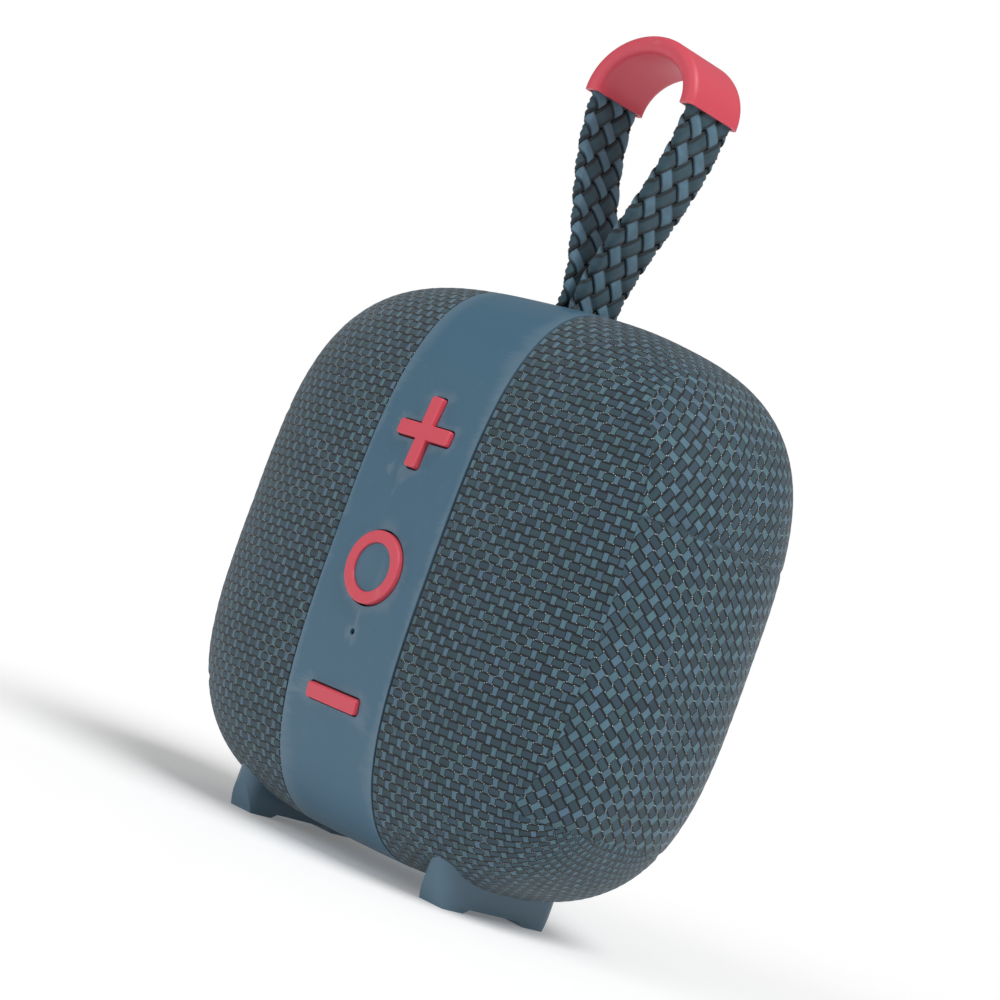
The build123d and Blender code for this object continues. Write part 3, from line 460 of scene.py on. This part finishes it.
class BeltChart:
    """Lengths along the cheek: round its section and out from the band, read from a table of sections."""

    def __init__(self, stations=120, turns=160):
        self.x = CHEEK_START + (HALF[0] - CHEEK_START) * np.sin(np.linspace(0, math.pi / 2, stations))
        self.turn = np.linspace(0, math.pi / 2, turns)
        x, turn = np.meshgrid(self.x, self.turn, indexing="ij")
        anchor = np.stack([np.minimum(x, HALF[0] * 0.99999), 0 * x, 0 * x], axis=-1)
        rays = np.stack([0 * x, HALF[1] * np.cos(turn), HALF[2] * np.sin(turn)], axis=-1)
        points = on_form(anchor, rays)
        round_steps = np.linalg.norm(np.diff(points, axis=1), axis=-1)
        out_steps = np.linalg.norm(np.diff(points, axis=0), axis=-1)
        self.round = np.concatenate([np.zeros((stations, 1)), np.cumsum(round_steps, axis=1)], axis=1)
        self.out = np.concatenate([np.zeros((1, turns)), np.cumsum(out_steps, axis=0)], axis=0)

    def read(self, table, x, turn):
        i = np.clip(np.interp(x, self.x, np.arange(len(self.x))), 0, len(self.x) - 1.001)
        j = np.clip(turn / self.turn[1], 0, len(self.turn) - 1.001)
        i0, j0 = i.astype(int), j.astype(int)
        di, dj = i - i0, j - j0
        return ((table[i0, j0] * (1 - dj) + table[i0, j0 + 1] * dj) * (1 - di)
                + (table[i0 + 1, j0] * (1 - dj) + table[i0 + 1, j0 + 1] * dj) * di)

    def places(self, points):
        """Length out from the band, and signed length round the section, the same all along the top ridge."""
        x, y, z = np.abs(points[..., 0]), np.abs(points[..., 1]), np.abs(points[..., 2])
        turn = np.arctan2(z / HALF[2], np.maximum(y, 1e-9) / HALF[1])
        out = self.read(self.out, x, turn)
        full = self.round[0, -1]
        here = self.read(self.round, x, turn)
        top = self.read(self.round, x, np.full_like(turn, math.pi / 2))
        near_ridge = smooth_step((turn / (math.pi / 2) - 0.45) / 0.55)
        here = here * (1 + (full / np.maximum(top, 1e-6) - 1) * near_ridge)
        here = np.where(points[..., 1] > 0, 2 * full - here, here)
        return out, np.sign(points[..., 2]) * here, full


def side_lengths(points):
    """Lengths over the side of the cheek from its middle: level ones toward the back, and upright ones."""
    places = np.abs(points)
    steps = np.linspace(0, 1, SIDE_STEPS)

    def run(moving, fixed):
        sweep = places[..., moving, None] * steps
        held = places[..., fixed, None] * np.ones_like(steps)
        share = {moving: sweep / HALF[moving], fixed: held / HALF[fixed]}
        left = np.clip(1 - share[1] ** DEPTH_POWER, 0, 1) ** (OUTLINE_POWER / DEPTH_POWER)
        out = HALF[0] * np.clip(left - share[2] ** OUTLINE_POWER, 0, 1) ** (1 / OUTLINE_POWER)
        return np.hypot(np.diff(sweep, axis=-1), np.diff(out, axis=-1)).sum(-1)

    return run(1, 2) * np.sign(points[..., 1]), run(2, 1) * np.sign(points[..., 2])


def cheek_threads(points, chart, sizes):
    """Thread places of the two weaves: the one over the front, and the sloping one of the side panel."""

    def front_places(spots):
        out, around, full = chart.places(spots)
        rows = 2 * round(2 * full / sizes.row_pitch)  # an even count, so that the weave closes behind
        return np.stack([out / sizes.level_pitch, around * rows / (4 * full)], axis=-1)

    def sloping(first, second, match):
        """Threads at two slopes, numbered as the front's are at the matching depth and height."""
        spot = on_form(np.zeros(3), np.array([[[HALF[0] * 0.9, *match]]]) / HALF[0])
        deep, high_up = (here - there[0, 0] for here, there in zip(side_lengths(points), side_lengths(spot)))
        pair = [way * (math.cos(lean) * high_up - math.sin(lean) * deep) / sizes.slope_pitch
                for lean, way in (first, second)]
        return np.stack(pair, axis=-1) + front_places(spot)[0, 0]

    high = sloping((FALLING, 1), (STEEP, 1), MATCH_HIGH)
    low = sloping((STEEP, -1), (FALLING, 1), MATCH_LOW)
    return front_places(points), np.where(points[..., 2:] > SEAM_Z, high, low)


def on_side_panel(points):
    """True where the cheek shows the sloping weave."""
    x, y, z = np.abs(points[..., 0]), np.abs(points[..., 1]), points[..., 2]
    return (y < CREASE_Y) & (z > PANEL_FOOT_Z) & (x > PANEL_REACH * HALF[0])


def crease_depth(points):
    """0 to 1 along the folds: upright before and behind the side panel, level over and under its lower part."""
    x, y, z = np.abs(points[..., 0]), np.abs(points[..., 1]), points[..., 2]
    upright = np.exp(-(((y - CREASE_Y) / CREASE_SPREAD) ** 2))
    upright = upright * smooth_step((z - PANEL_FOOT_Z) / (1.2 * MM)) * smooth_step((32 * MM - z) / (14 * MM))
    ends = np.minimum(np.abs(z - SEAM_Z), np.abs(z - PANEL_FOOT_Z))
    level = np.exp(-((ends / CREASE_SPREAD) ** 2)) * smooth_step((CREASE_Y + 0.6 * MM - y) / (0.8 * MM))
    return np.maximum(upright, level) * (x > PANEL_REACH * HALF[0])


def cheek_points(rows, columns, inset):
    """A grid over one cheek, bent from a square so that its border is the edge beside the band."""
    level = np.linspace(-1, 1, columns + 1)
    upright = np.linspace(-1, 1, rows + 1)
    r, c = np.meshgrid(upright, level, indexing="ij")
    across, up = c * np.sqrt(1 - r * r / 2), r * np.sqrt(1 - c * c / 2)
    reach = np.hypot(across, up)
    lean = reach * math.pi / 2
    share = np.where(reach > 0, np.sin(lean) / np.maximum(reach, 1e-9), math.pi / 2)
    room = np.array([HALF[0] - CHEEK_START, HALF[1], HALF[2]])
    rays = np.stack([np.cos(lean), across * share, up * share], axis=-1) * room
    return on_form(np.array([CHEEK_START, 0.0, 0.0]), rays, inset)


def border(rows, columns):
    """Numbers of the points round the edge of a grid, in order."""
    index = np.arange((rows + 1) * (columns + 1)).reshape(rows + 1, columns + 1)
    return np.concatenate([index[0, :-1], index[:-1, -1], index[-1, :0:-1], index[:0:-1, 0]])


def build_cheek(side, chart, colours, sizes):
    """One cheek as a closed cloth shell: threads in relief outside, a turned edge and a plain lining."""
    hand = -1 if side == "left" else 1
    points = cheek_points(CHEEK_ROWS, CHEEK_COLUMNS, 0.0)
    normals = form_normal(points)
    front, sloping = cheek_threads(points, chart, sizes)
    shown = np.where(on_side_panel(points)[..., None], sloping, front)
    wave = np.cos(math.pi * shown[..., 0]) * np.cos(math.pi * shown[..., 1])
    swell = np.abs(np.cos(math.pi * (shown[..., 1] - 0.5)))
    depth = sizes.relief * (0.5 - 0.28 * wave - 0.22 * swell) + sizes.crease * crease_depth(points)
    from_band = points[..., 0] - CHEEK_START
    turned = 1 - np.clip(from_band / EDGE_ROLL, 0, 1)
    rolled = EDGE_DROP * (1 - np.sqrt(np.clip(1 - turned ** 2, 0, 1)))
    outside = points - normals * (depth * smooth_step(from_band / PLAIN_EDGE) + rolled)[..., None]
    outside[..., 0] = np.maximum(outside[..., 0], CHEEK_START)
    rim = border(CHEEK_ROWS, CHEEK_COLUMNS)
    lining_rows, lining_columns = CHEEK_ROWS // LINING_STEP, CHEEK_COLUMNS // LINING_STEP
    lining = cheek_points(lining_rows, lining_columns, CLOTH_THICKNESS)
    inner_rim = border(lining_rows, lining_columns)
    count = points.shape[0] * points.shape[1]
    everything = np.concatenate([outside.reshape(-1, 3), lining.reshape(-1, 3)])
    faces = [list(f) for f in grid_faces(CHEEK_ROWS + 1, CHEEK_COLUMNS + 1)]
    faces += [list(f[::-1] + count) for f in grid_faces(lining_rows + 1, lining_columns + 1)]
    for i in range(len(inner_rim)):
        run = [rim[(i * LINING_STEP + k) % len(rim)] for k in range(LINING_STEP + 1)]
        faces.append([*run[::-1], inner_rim[i] + count, inner_rim[(i + 1) % len(inner_rim)] + count])
    everything[:, 0] *= hand
    if hand > 0:
        faces = [f[::-1] for f in faces]
    piece = make_piece(f"cheek_cloth_{side}", lifted(everything), faces, cloth_material(colours))
    for label, places in (("weave", front), ("weave_low", sloping)):
        unseen = np.zeros((len(everything) - count, 2))
        mark_places(piece, label, np.concatenate([places.reshape(-1, 2), unseen]))
    return settle(piece, "body", "cheek_fabric", f"fabric_{side}")


def cloth_material(colours):
    """Two weaves of the same threads, changed over at the edges of the side panel."""
    found = bpy.data.materials.get("cheek cloth")
    if found:
        return found
    material = bpy.data.materials.new("cheek cloth")
    material.use_nodes = True
    g = Graph(material.node_tree)
    shader = material.node_tree.nodes["Principled BSDF"]
    threads = shared_group("woven threads", thread_group)
    split = g.node("ShaderNodeSeparateXYZ")
    g.feed(split.inputs[0], g.node("ShaderNodeTexCoord").outputs["Object"])
    x, y = g.math("ABSOLUTE", split.outputs[0]), g.math("ABSOLUTE", split.outputs[1])
    z = g.math("SUBTRACT", split.outputs[2], CENTRE_Z)
    panel = g.math("MULTIPLY", g.math("LESS_THAN", y, CREASE_Y), g.math("GREATER_THAN", z, PANEL_FOOT_Z))
    panel = g.math("MULTIPLY", panel, g.math("GREATER_THAN", x, PANEL_REACH * HALF[0]))
    tints = {"Dark Thread": (*colours.cloth_dark, 1), "Light Thread": (*colours.cloth_light, 1),
             "Gap": (*colours.cloth_gap_shade, 1)}
    weaves = []
    for label, widths in (("weave", FRONT_THREADS), ("weave_low", SIDE_THREADS)):
        effect = g.node("ShaderNodeGroup", node_tree=threads)
        g.feed(effect.inputs["Thread Place"], g.node("ShaderNodeUVMap", uv_map=label).outputs[0])
        for socket, value in {**tints, **widths, **CLOTH_LOOK}.items():
            effect.inputs[socket].default_value = value
        weaves.append(effect.outputs)
    front, side = weaves
    g.feed(shader.inputs["Base Color"], g.mix(panel, front["Color"], side["Color"]))
    height = g.math("ADD", g.math("MULTIPLY", front["Height"], g.math("SUBTRACT", 1.0, panel)),
                    g.math("MULTIPLY", side["Height"], panel))
    g.feed(shader.inputs["Roughness"], front["Roughness"])
    relief = g.node("ShaderNodeBump")
    relief.inputs["Strength"].default_value = 0.6
    relief.inputs["Distance"].default_value = 0.14 * MM
    g.feed(relief.inputs["Height"], height)
    g.feed(shader.inputs["Normal"], relief.outputs[0])
    for label, value in (("Specular IOR Level", 0.4), ("Sheen Weight", 0.15), ("Sheen Roughness", 0.5)):
        shader.inputs[label].default_value = value
    return material


# ---------------------------------------------------------------- carry loop
LOOP_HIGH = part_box("strap_loop")[1]
GRIP_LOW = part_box("strap_grip")[0]
PIN_LOW, PIN_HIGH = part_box("strap_pin")
SWING = Vector(next(j for j in frame["joints"] if j["name"] == "carry_loop_swing")["pos_m"])
STRAP_HALF_WIDTH = LOOP_HIGH.y
STRAP_HALF = 1.0 * MM  # half the strap's thickness
GRIP_LEG = 0.4 * MM  # how far the grip reaches below the loop's centre
LOOP_RADIUS = LOOP_HIGH.x - STRAP_HALF
LOOP_CENTRE = GRIP_LOW.z + GRIP_LEG
CROWN_RISE = LOOP_HIGH.z - STRAP_HALF - LOOP_CENTRE
NECK_HALF = 1.5 * MM  # from the middle to the strap's middle line at the neck
NECK_PULL, CROWN_PULL = 0.28, 0.4  # lengths of the leg's handles, as shares of its rise
PIN_CENTRE = (PIN_LOW.z + PIN_HIGH.z) / 2
PIN_TURN = 2.45 * MM  # radius of the strap's middle line under the pin
LINE_STEPS = 800
LEAD_SHARE = 1.12  # length in which a strand winds round once, as a share of the girth
STRAND_STEP = 0.36 * MM
CROSSING = 1.9  # how quickly a strand goes from over to under
LIGHT_SHARE = 0.8  # width of a light strand, as a share of a dark one's
STRAND_SHIFT = 0.0137  # sets one strand's filaments apart from the next one's


def strap_line():
    """The middle line of the strap: up from under the pin, round the loop and back down to the pin."""
    rise = LOOP_CENTRE - SWING.z
    t = np.linspace(0, 1, 60)[:, None]
    quarter = np.linspace(-math.pi / 2, 0, 16)
    root = np.stack([PIN_TURN * np.cos(quarter), PIN_CENTRE + PIN_TURN * np.sin(quarter)], axis=1)

    def bezier(a, b, c, d):
        a, b, c, d = (np.array(p) for p in (a, b, c, d))
        return a * (1 - t) ** 3 + 3 * b * t * (1 - t) ** 2 + 3 * c * t * t * (1 - t) + d * t ** 3

    third = (SWING.z - PIN_CENTRE) / 3
    shank = bezier((PIN_TURN, PIN_CENTRE), (PIN_TURN, PIN_CENTRE + third),
                   (NECK_HALF, SWING.z - third), (NECK_HALF, SWING.z))
    leg = bezier((NECK_HALF, SWING.z), (NECK_HALF, SWING.z + NECK_PULL * rise),
                 (LOOP_RADIUS, LOOP_CENTRE - CROWN_PULL * rise), (LOOP_RADIUS, LOOP_CENTRE))
    arc = np.linspace(0, math.pi / 2, 40)
    crown = np.stack([LOOP_RADIUS * np.cos(arc), LOOP_CENTRE + CROWN_RISE * np.sin(arc)], axis=1)
    half = np.concatenate([root, shank[1:], leg[1:], crown[1:]])
    other = half[::-1] * np.array([-1, 1])
    line = np.concatenate([half, other[1:]])
    steps = np.linalg.norm(np.diff(line, axis=0), axis=1)
    run = np.concatenate([[0], np.cumsum(steps)])
    even = np.linspace(0, run[-1], LINE_STEPS)
    line = np.stack([np.interp(even, run, line[:, 0]), np.interp(even, run, line[:, 1])], axis=1)
    return even, line


class FlatTube:
    """The flattened tube that the strands wind on."""

    def __init__(self, half_width, half_thickness):
        self.run, self.line = strap_line()
        ahead = np.gradient(self.line, self.run, axis=0)
        ahead /= np.linalg.norm(ahead, axis=1, keepdims=True)
        self.outward = np.stack([ahead[:, 1], -ahead[:, 0]], axis=1)
        self.flat = half_width - half_thickness
        self.turn = half_thickness
        self.girth = 4 * self.flat + 2 * math.pi * half_thickness

    def places(self, around, along, height):
        """Points from the length round the tube, the length along it and the height over it."""
        around = np.mod(around, self.girth)
        bend = math.pi * self.turn
        first = around < 2 * self.flat
        second = ~first & (around < 2 * self.flat + bend)
        third = ~first & ~second & (around < 4 * self.flat + bend)
        wide = np.where(first, around - self.flat, 0.0)
        thick = np.where(first, self.turn, 0.0)
        lean_w, lean_t = np.zeros_like(around), np.where(first, 1.0, 0.0)
        angle = (around - 2 * self.flat) / self.turn
        wide = np.where(second, self.flat + self.turn * np.sin(angle), wide)
        thick = np.where(second, self.turn * np.cos(angle), thick)
        lean_w, lean_t = np.where(second, np.sin(angle), lean_w), np.where(second, np.cos(angle), lean_t)
        back = around - 2 * self.flat - bend
        wide = np.where(third, self.flat - back, wide)
        thick = np.where(third, -self.turn, thick)
        lean_t = np.where(third, -1.0, lean_t)
        fourth = ~first & ~second & ~third
        angle = (around - 4 * self.flat - bend) / self.turn
        wide = np.where(fourth, -self.flat - self.turn * np.sin(angle), wide)
        thick = np.where(fourth, -self.turn * np.cos(angle), thick)
        lean_w, lean_t = np.where(fourth, -np.sin(angle), lean_w), np.where(fourth, -np.cos(angle), lean_t)
        wide, thick = wide + height * lean_w, thick + height * lean_t
        base = [np.interp(along, self.run, self.line[:, i]) for i in (0, 1)]
        out = [np.interp(along, self.run, self.outward[:, i]) for i in (0, 1)]
        return np.stack([base[0] + thick * out[0], wide, base[1] + thick * out[1]], axis=-1)


def build_braid(colours, sizes):
    """The strap as two sets of flat strands, each passing over and under the other."""
    half = sizes.strand_thickness / 2
    rise = half * 1.1
    tube = FlatTube(STRAP_HALF_WIDTH - half - rise, STRAP_HALF - half - rise)
    lead = LEAD_SHARE * tube.girth
    slant = math.atan2(lead, tube.girth)
    total = tube.run[-1]
    samples = int(total / STRAND_STEP)
    along = np.linspace(0, total, samples)
    over = np.tanh(CROSSING * np.cos(2 * math.pi * sizes.strands * along / lead)) / math.tanh(CROSSING)
    profile = np.linspace(0, 2 * math.pi, 12, endpoint=False)
    crown = np.sign(np.sin(profile)) * np.abs(np.sin(profile)) ** 0.75 * half
    points, faces, filaments, kinds = [], [], [], []
    for way, width in ((1, sizes.strand_width), (-1, sizes.strand_width * LIGHT_SHARE)):
        bulge = np.sign(np.cos(profile)) * np.abs(np.cos(profile)) ** 0.8 * width / 2
        for strand in range(sizes.strands):
            around = (strand / sizes.strands + way * along / lead) * tube.girth
            s = along[:, None] - bulge * math.cos(slant)
            a = around[:, None] + way * bulge * math.sin(slant)
            height = (way * rise * over)[:, None] + crown
            ring = grid_faces(samples, len(profile), closed=True)
            faces.append((ring[:, ::-1] if way > 0 else ring) + sum(len(p) for p in points))
            points.append(tube.places(a, np.clip(s, 0, total), height).reshape(-1, 3))
            kinds.append(np.full(len(ring), 0 if way > 0 else 1))
            length_along = np.repeat(along[:, None] / math.sin(slant), len(profile), axis=1)
            across = np.repeat(bulge[None, :], samples, axis=0)
            filaments.append(np.stack([length_along + strand * STRAND_SHIFT, across], axis=-1).reshape(-1, 2))
    dark = strand_material("dark strand", colours.braid_dark)
    piece = make_piece("carry_strap_braid", np.concatenate(points), np.concatenate(faces), dark)
    piece.data.materials.append(strand_material("light strand", colours.braid_light))
    piece.data.polygons.foreach_set("material_index", np.concatenate(kinds).astype(np.int32))
    mark_places(piece, "weave", np.concatenate(filaments) / MM)
    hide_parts("strap_loop", "strap_root")
    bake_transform(piece)
    return piece


def strand_group():
    """A strand of twisted filaments: fine lines at a slant along it, with painted shade darkening its edges."""
    group, given, result = build_group("twisted filaments", [
        ("Strand Place", "NodeSocketVector", None),
        ("Base", "NodeSocketColor", (0.1, 0.1, 0.1, 1)),
        ("Half Width", "NodeSocketFloat", 1.2),
    ], [("Color", "NodeSocketColor"), ("Height", "NodeSocketFloat"), ("Roughness", "NodeSocketFloat")])
    g = Graph(group)
    place = given.outputs["Strand Place"]
    split = g.node("ShaderNodeSeparateXYZ")
    g.feed(split.inputs[0], place)
    along, across = split.outputs[0], split.outputs[1]
    phase = g.math("ADD", g.math("MULTIPLY", along, 1.2), g.math("MULTIPLY", across, 4.4))
    wobble = g.noise(g.vector("MULTIPLY", place, (0.6, 1.5, 1.0)), 1.3, 3.0)
    phase = g.math("ADD", phase, g.math("MULTIPLY", wobble, 1.5))
    ply = g.math("ABSOLUTE", g.math("SINE", g.math("MULTIPLY", phase, math.pi)))
    patch = g.noise(g.vector("MULTIPLY", place, (0.32, 0.5, 1.0)), 1.0, 2.0)
    # painted shade: the strand darkens toward its edges, where it dips under the crossing strands
    edge = g.ramp(g.math("ABSOLUTE", across), g.math("MULTIPLY", given.outputs["Half Width"], 0.66),
                  given.outputs["Half Width"], 1.0, 0.22)
    shade = g.math("MULTIPLY", g.ramp(ply, 0.0, 0.8, 0.78, 1.06), g.ramp(patch, 0.25, 0.75, 0.82, 1.22))
    shade = g.math("MULTIPLY", shade, edge)
    grey = g.node("ShaderNodeCombineColor")
    for socket in grey.inputs[:3]:
        g.feed(socket, shade)
    g.feed(result.inputs["Color"], g.mix(1.0, given.outputs["Base"], grey.outputs[0], "MULTIPLY"))
    g.feed(result.inputs["Height"], ply)
    g.feed(result.inputs["Roughness"], g.ramp(ply, 0.0, 1.0, 0.72, 0.5))
    return group


def strand_material(name, colour_value):
    group = shared_group("twisted filaments", strand_group)
    material = surface(name, group, {"Base": (*colour_value, 1), "Half Width": 1.2}, 0.35, 0.0001,
                       {"Sheen Weight": 0.1, "Specular IOR Level": 0.4})
    g = Graph(material.node_tree)
    effect = next(n for n in material.node_tree.nodes if n.type == "GROUP")
    g.feed(effect.inputs["Strand Place"], g.node("ShaderNodeUVMap", uv_map="weave").outputs[0])
    return material


# ---------------------------------------------------------------- finishes of the frame's own nodes
def finishes(colours):
    """Material of each node of the frame that keeps its own mesh."""
    band = moulded("band rubber", colours.band, roughness=0.42, grain=2600.0, bump=0.10, wear=0.25)
    red = moulded("red rubber", colours.red, roughness=0.45, grain=2400.0, bump=0.10, wear=0.15)
    plastic = moulded("housing plastic", tone(38, 40, 43), 0.55, 1800.0, 0.2)
    board = moulded("circuit board", tone(20, 72, 44), 0.4, 900.0, 0.25)
    foam = moulded("sealing foam", tone(46, 46, 48), 0.85, 700.0, 0.6)
    steel = metal("turned steel", tone(176, 178, 180))
    paper = moulded("cone paper", tone(52, 50, 48), 0.8, 900.0, 0.5)
    roll = moulded("roll rubber", tone(30, 30, 32), 0.5)
    single = {
        "control_band": band, "port_flap": band, "play_core": band,
        "plus_key": red, "minus_key": red, "play_ring": red, "strap_grip": red,
        "strap_pin": steel, "housing_screws": steel, "board_screws": steel,
        "front_housing": plastic, "rear_housing": plastic, "battery_cradle": plastic, "housing_gasket": foam,
        "key_board": board, "main_board": board, "port_board": board,
        "key_switches": metal("switch caps", tone(190, 190, 188), 0.4),
        "microphone": metal("microphone can", tone(200, 190, 160), 0.35),
        "radio_module": metal("shield can", tone(196, 198, 200), 0.3),
        "amplifier_chip": moulded("chip package", tone(24, 24, 26), 0.5),
        "usb_socket": metal("socket shell", tone(186, 188, 190), 0.3),
        "battery_cell": moulded("cell wrap", tone(44, 92, 140), 0.3, 1200.0, 0.05),
        "battery_lead": moulded("lead sheath", tone(150, 34, 30), 0.45),
        "driver_leads": moulded("lead sheath dark", tone(28, 28, 30), 0.45),
        "key_flex": moulded("flex film", tone(150, 96, 30), 0.35),
    }
    paired = {
        "foot": band, "grille": metal("punched grille", tone(58, 60, 62), 0.5),
        "driver_gasket": foam, "driver_clamp": steel,
        "driver_basket": metal("pressed basket", tone(92, 94, 97), 0.45),
        "driver_magnet": metal("magnet iron", tone(70, 70, 74), 0.55),
        "voice_coil": metal("copper winding", tone(184, 104, 62), 0.4, (1.0, 40.0, 1.0)),
        "cone": paper, "dust_cap": paper, "surround": roll,
        "spider": moulded("spider cloth", tone(168, 132, 84), 0.9, 600.0, 0.7),
        "radiator_frame": plastic, "radiator_surround": roll,
        "radiator_plate": metal("radiator plate", tone(150, 152, 155), 0.38),
    }
    both = {f"{name}_{side}": made for name, made in paired.items() for side in ("left", "right")}
    return {**single, **both}


# ---------------------------------------------------------------- stage
FLOOR_RINGS, FLOOR_SPOKES = 24, 96
FLOOR_LOOK = {"Base": (0.93, 0.93, 0.93, 1), "Grain Scale": 400.0, "Tone Drift": 0.02, "Edge Wear": 0.0,
              "Roughness": 0.9}
FLOOR_GLOW = 0.14
SEEN_STRENGTH, LIGHTING_STRENGTH = 1.0, 0.30  # of the surroundings
KEY_LIGHT = ("key light", (0.75, -0.10, 1.0), 2.3, 35.0)
FRONT_LIGHT = ("front light", (-0.25, -1.0, 0.45), 0.7, 60.0)
CAMERA_PLACE = (0.3140, -0.3152, 0.0489)
CAMERA_RIGHT, CAMERA_UP = (0.6712, 0.6581, 0.3411), (-0.2129, -0.2696, 0.9392)
SENSOR_WIDTH, FOCAL_LENGTH = 36.0, 91.2
NEAREST_SEEN, FARTHEST_SEEN = 0.01, 50.0


def sun_light(name, toward, strength, spread):
    """A wide, soft light from far away in the direction toward, spread over an angle in degrees."""
    lamp = bpy.data.lights.new(name, "SUN")
    lamp.energy, lamp.angle = strength, math.radians(spread)
    light = bpy.data.objects.new(name, lamp)
    light.location = toward
    light.rotation_mode = "QUATERNION"
    light.rotation_quaternion = (-Vector(toward)).to_track_quat("-Z", "Y")
    bpy.context.scene.collection.objects.link(light)


def build_stage(sizes):
    """Pale floor, white surroundings, soft lights and the camera."""
    half = sizes.floor_width / 2
    radius = half * (np.linspace(0, 1, FLOOR_RINGS + 1)[1:] ** 2)
    angle = np.linspace(0, 2 * math.pi, FLOOR_SPOKES, endpoint=False)
    points = np.stack([np.outer(radius, np.cos(angle)), np.outer(radius, np.sin(angle)),
                       np.zeros((FLOOR_RINGS, FLOOR_SPOKES))], axis=-1)
    faces = [*grid_faces(FLOOR_RINGS, FLOOR_SPOKES, closed=True)[:, ::-1], range(FLOOR_SPOKES)]
    pale = surface("pale floor", shared_group("moulded surface", moulded_group), FLOOR_LOOK, 0.02,
                   constants={"Emission Color": (1, 1, 1, 1), "Emission Strength": FLOOR_GLOW})
    make_piece("floor", points, faces, pale)
    scene = bpy.context.scene
    world = bpy.data.worlds.new("white surroundings")
    scene.world = world
    world.use_nodes = True
    g = Graph(world.node_tree)
    backdrop = world.node_tree.nodes["Background"]
    seen = g.node("ShaderNodeLightPath").outputs["Is Camera Ray"]
    g.feed(backdrop.inputs["Strength"], g.ramp(seen, 0.0, 1.0, LIGHTING_STRENGTH, SEEN_STRENGTH))
    backdrop.inputs["Color"].default_value = (1, 1, 1, 1)
    scene.view_settings.view_transform = "Standard"
    sun_light(*KEY_LIGHT)
    sun_light(*FRONT_LIGHT)
    lens = bpy.data.cameras.new("camera")
    lens.sensor_width, lens.lens = SENSOR_WIDTH, FOCAL_LENGTH
    lens.clip_start, lens.clip_end = NEAREST_SEEN, FARTHEST_SEEN
    camera = bpy.data.objects.new("camera", lens)
    right = Vector(CAMERA_RIGHT).normalized()
    back = right.cross(Vector(CAMERA_UP)).normalized()
    up = back.cross(right)
    turn = Matrix((right, up, back)).transposed()
    camera.matrix_world = Matrix.Translation(CAMERA_PLACE) @ turn.to_4x4()
    scene.collection.objects.link(camera)
    scene.camera = camera


# ---------------------------------------------------------------- add-on
class SPEAKER_OT_cheeks(Operator):
    """Build the woven cloth over both cheeks"""
    bl_idname = "speaker.cheeks"
    bl_label = "Cheek Cloth"

    def execute(self, context):
        colours, sizes = settings()
        chart = BeltChart()
        for side in ("left", "right"):
            build_cheek(side, chart, colours, sizes)
        return {"FINISHED"}


class SPEAKER_OT_braid(Operator):
    """Braid the strap of the carry loop"""
    bl_idname = "speaker.braid"
    bl_label = "Carry Strap Braid"

    def execute(self, context):
        build_braid(*settings())
        return {"FINISHED"}


class SPEAKER_OT_finishes(Operator):
    """Give each node of the frame that keeps its mesh its own finish"""
    bl_idname = "speaker.finishes"
    bl_label = "Frame Finishes"

    def execute(self, context):
        colours, _ = settings()
        for name, material in finishes(colours).items():
            node = frame["nodes"][name]
            node.data.materials.clear()
            node.data.materials.append(material)
        return {"FINISHED"}


class SPEAKER_OT_stage(Operator):
    """Set up the floor, the lights and the camera"""
    bl_idname = "speaker.stage"
    bl_label = "Stage"

    def execute(self, context):
        build_stage(settings()[1])
        return {"FINISHED"}


STEPS = (SPEAKER_OT_cheeks, SPEAKER_OT_braid, SPEAKER_OT_finishes, SPEAKER_OT_stage)


class SPEAKER_PT_panel(Panel):
    """Sizes, colours and steps of the speaker's looks"""
    bl_idname = "SPEAKER_PT_panel"
    bl_label = "Pocket Speaker"
    bl_space_type = "VIEW_3D"
    bl_region_type = "UI"
    bl_category = "Speaker"

    def draw(self, context):
        for title, group in zip(("Colours", "Sizes"), settings()):
            box = self.layout.box()
            box.label(text=title)
            for name in group.__annotations__:
                box.prop(group, name)
        column = self.layout.column(align=True)
        for step in STEPS:
            column.operator(step.bl_idname)


CLASSES = (SpeakerColours, SpeakerSizes, *STEPS, SPEAKER_PT_panel)


def register():
    for made in CLASSES:
        bpy.utils.register_class(made)
    bpy.types.Scene.speaker_colours = PointerProperty(type=SpeakerColours)
    bpy.types.Scene.speaker_sizes = PointerProperty(type=SpeakerSizes)


def unregister():
    del bpy.types.Scene.speaker_sizes
    del bpy.types.Scene.speaker_colours
    for made in reversed(CLASSES):
        bpy.utils.unregister_class(made)


def main():
    register()
    for step in STEPS:
        group, name = step.bl_idname.split(".")
        getattr(getattr(bpy.ops, group), name)()


if __name__ == "__main__":
    main()
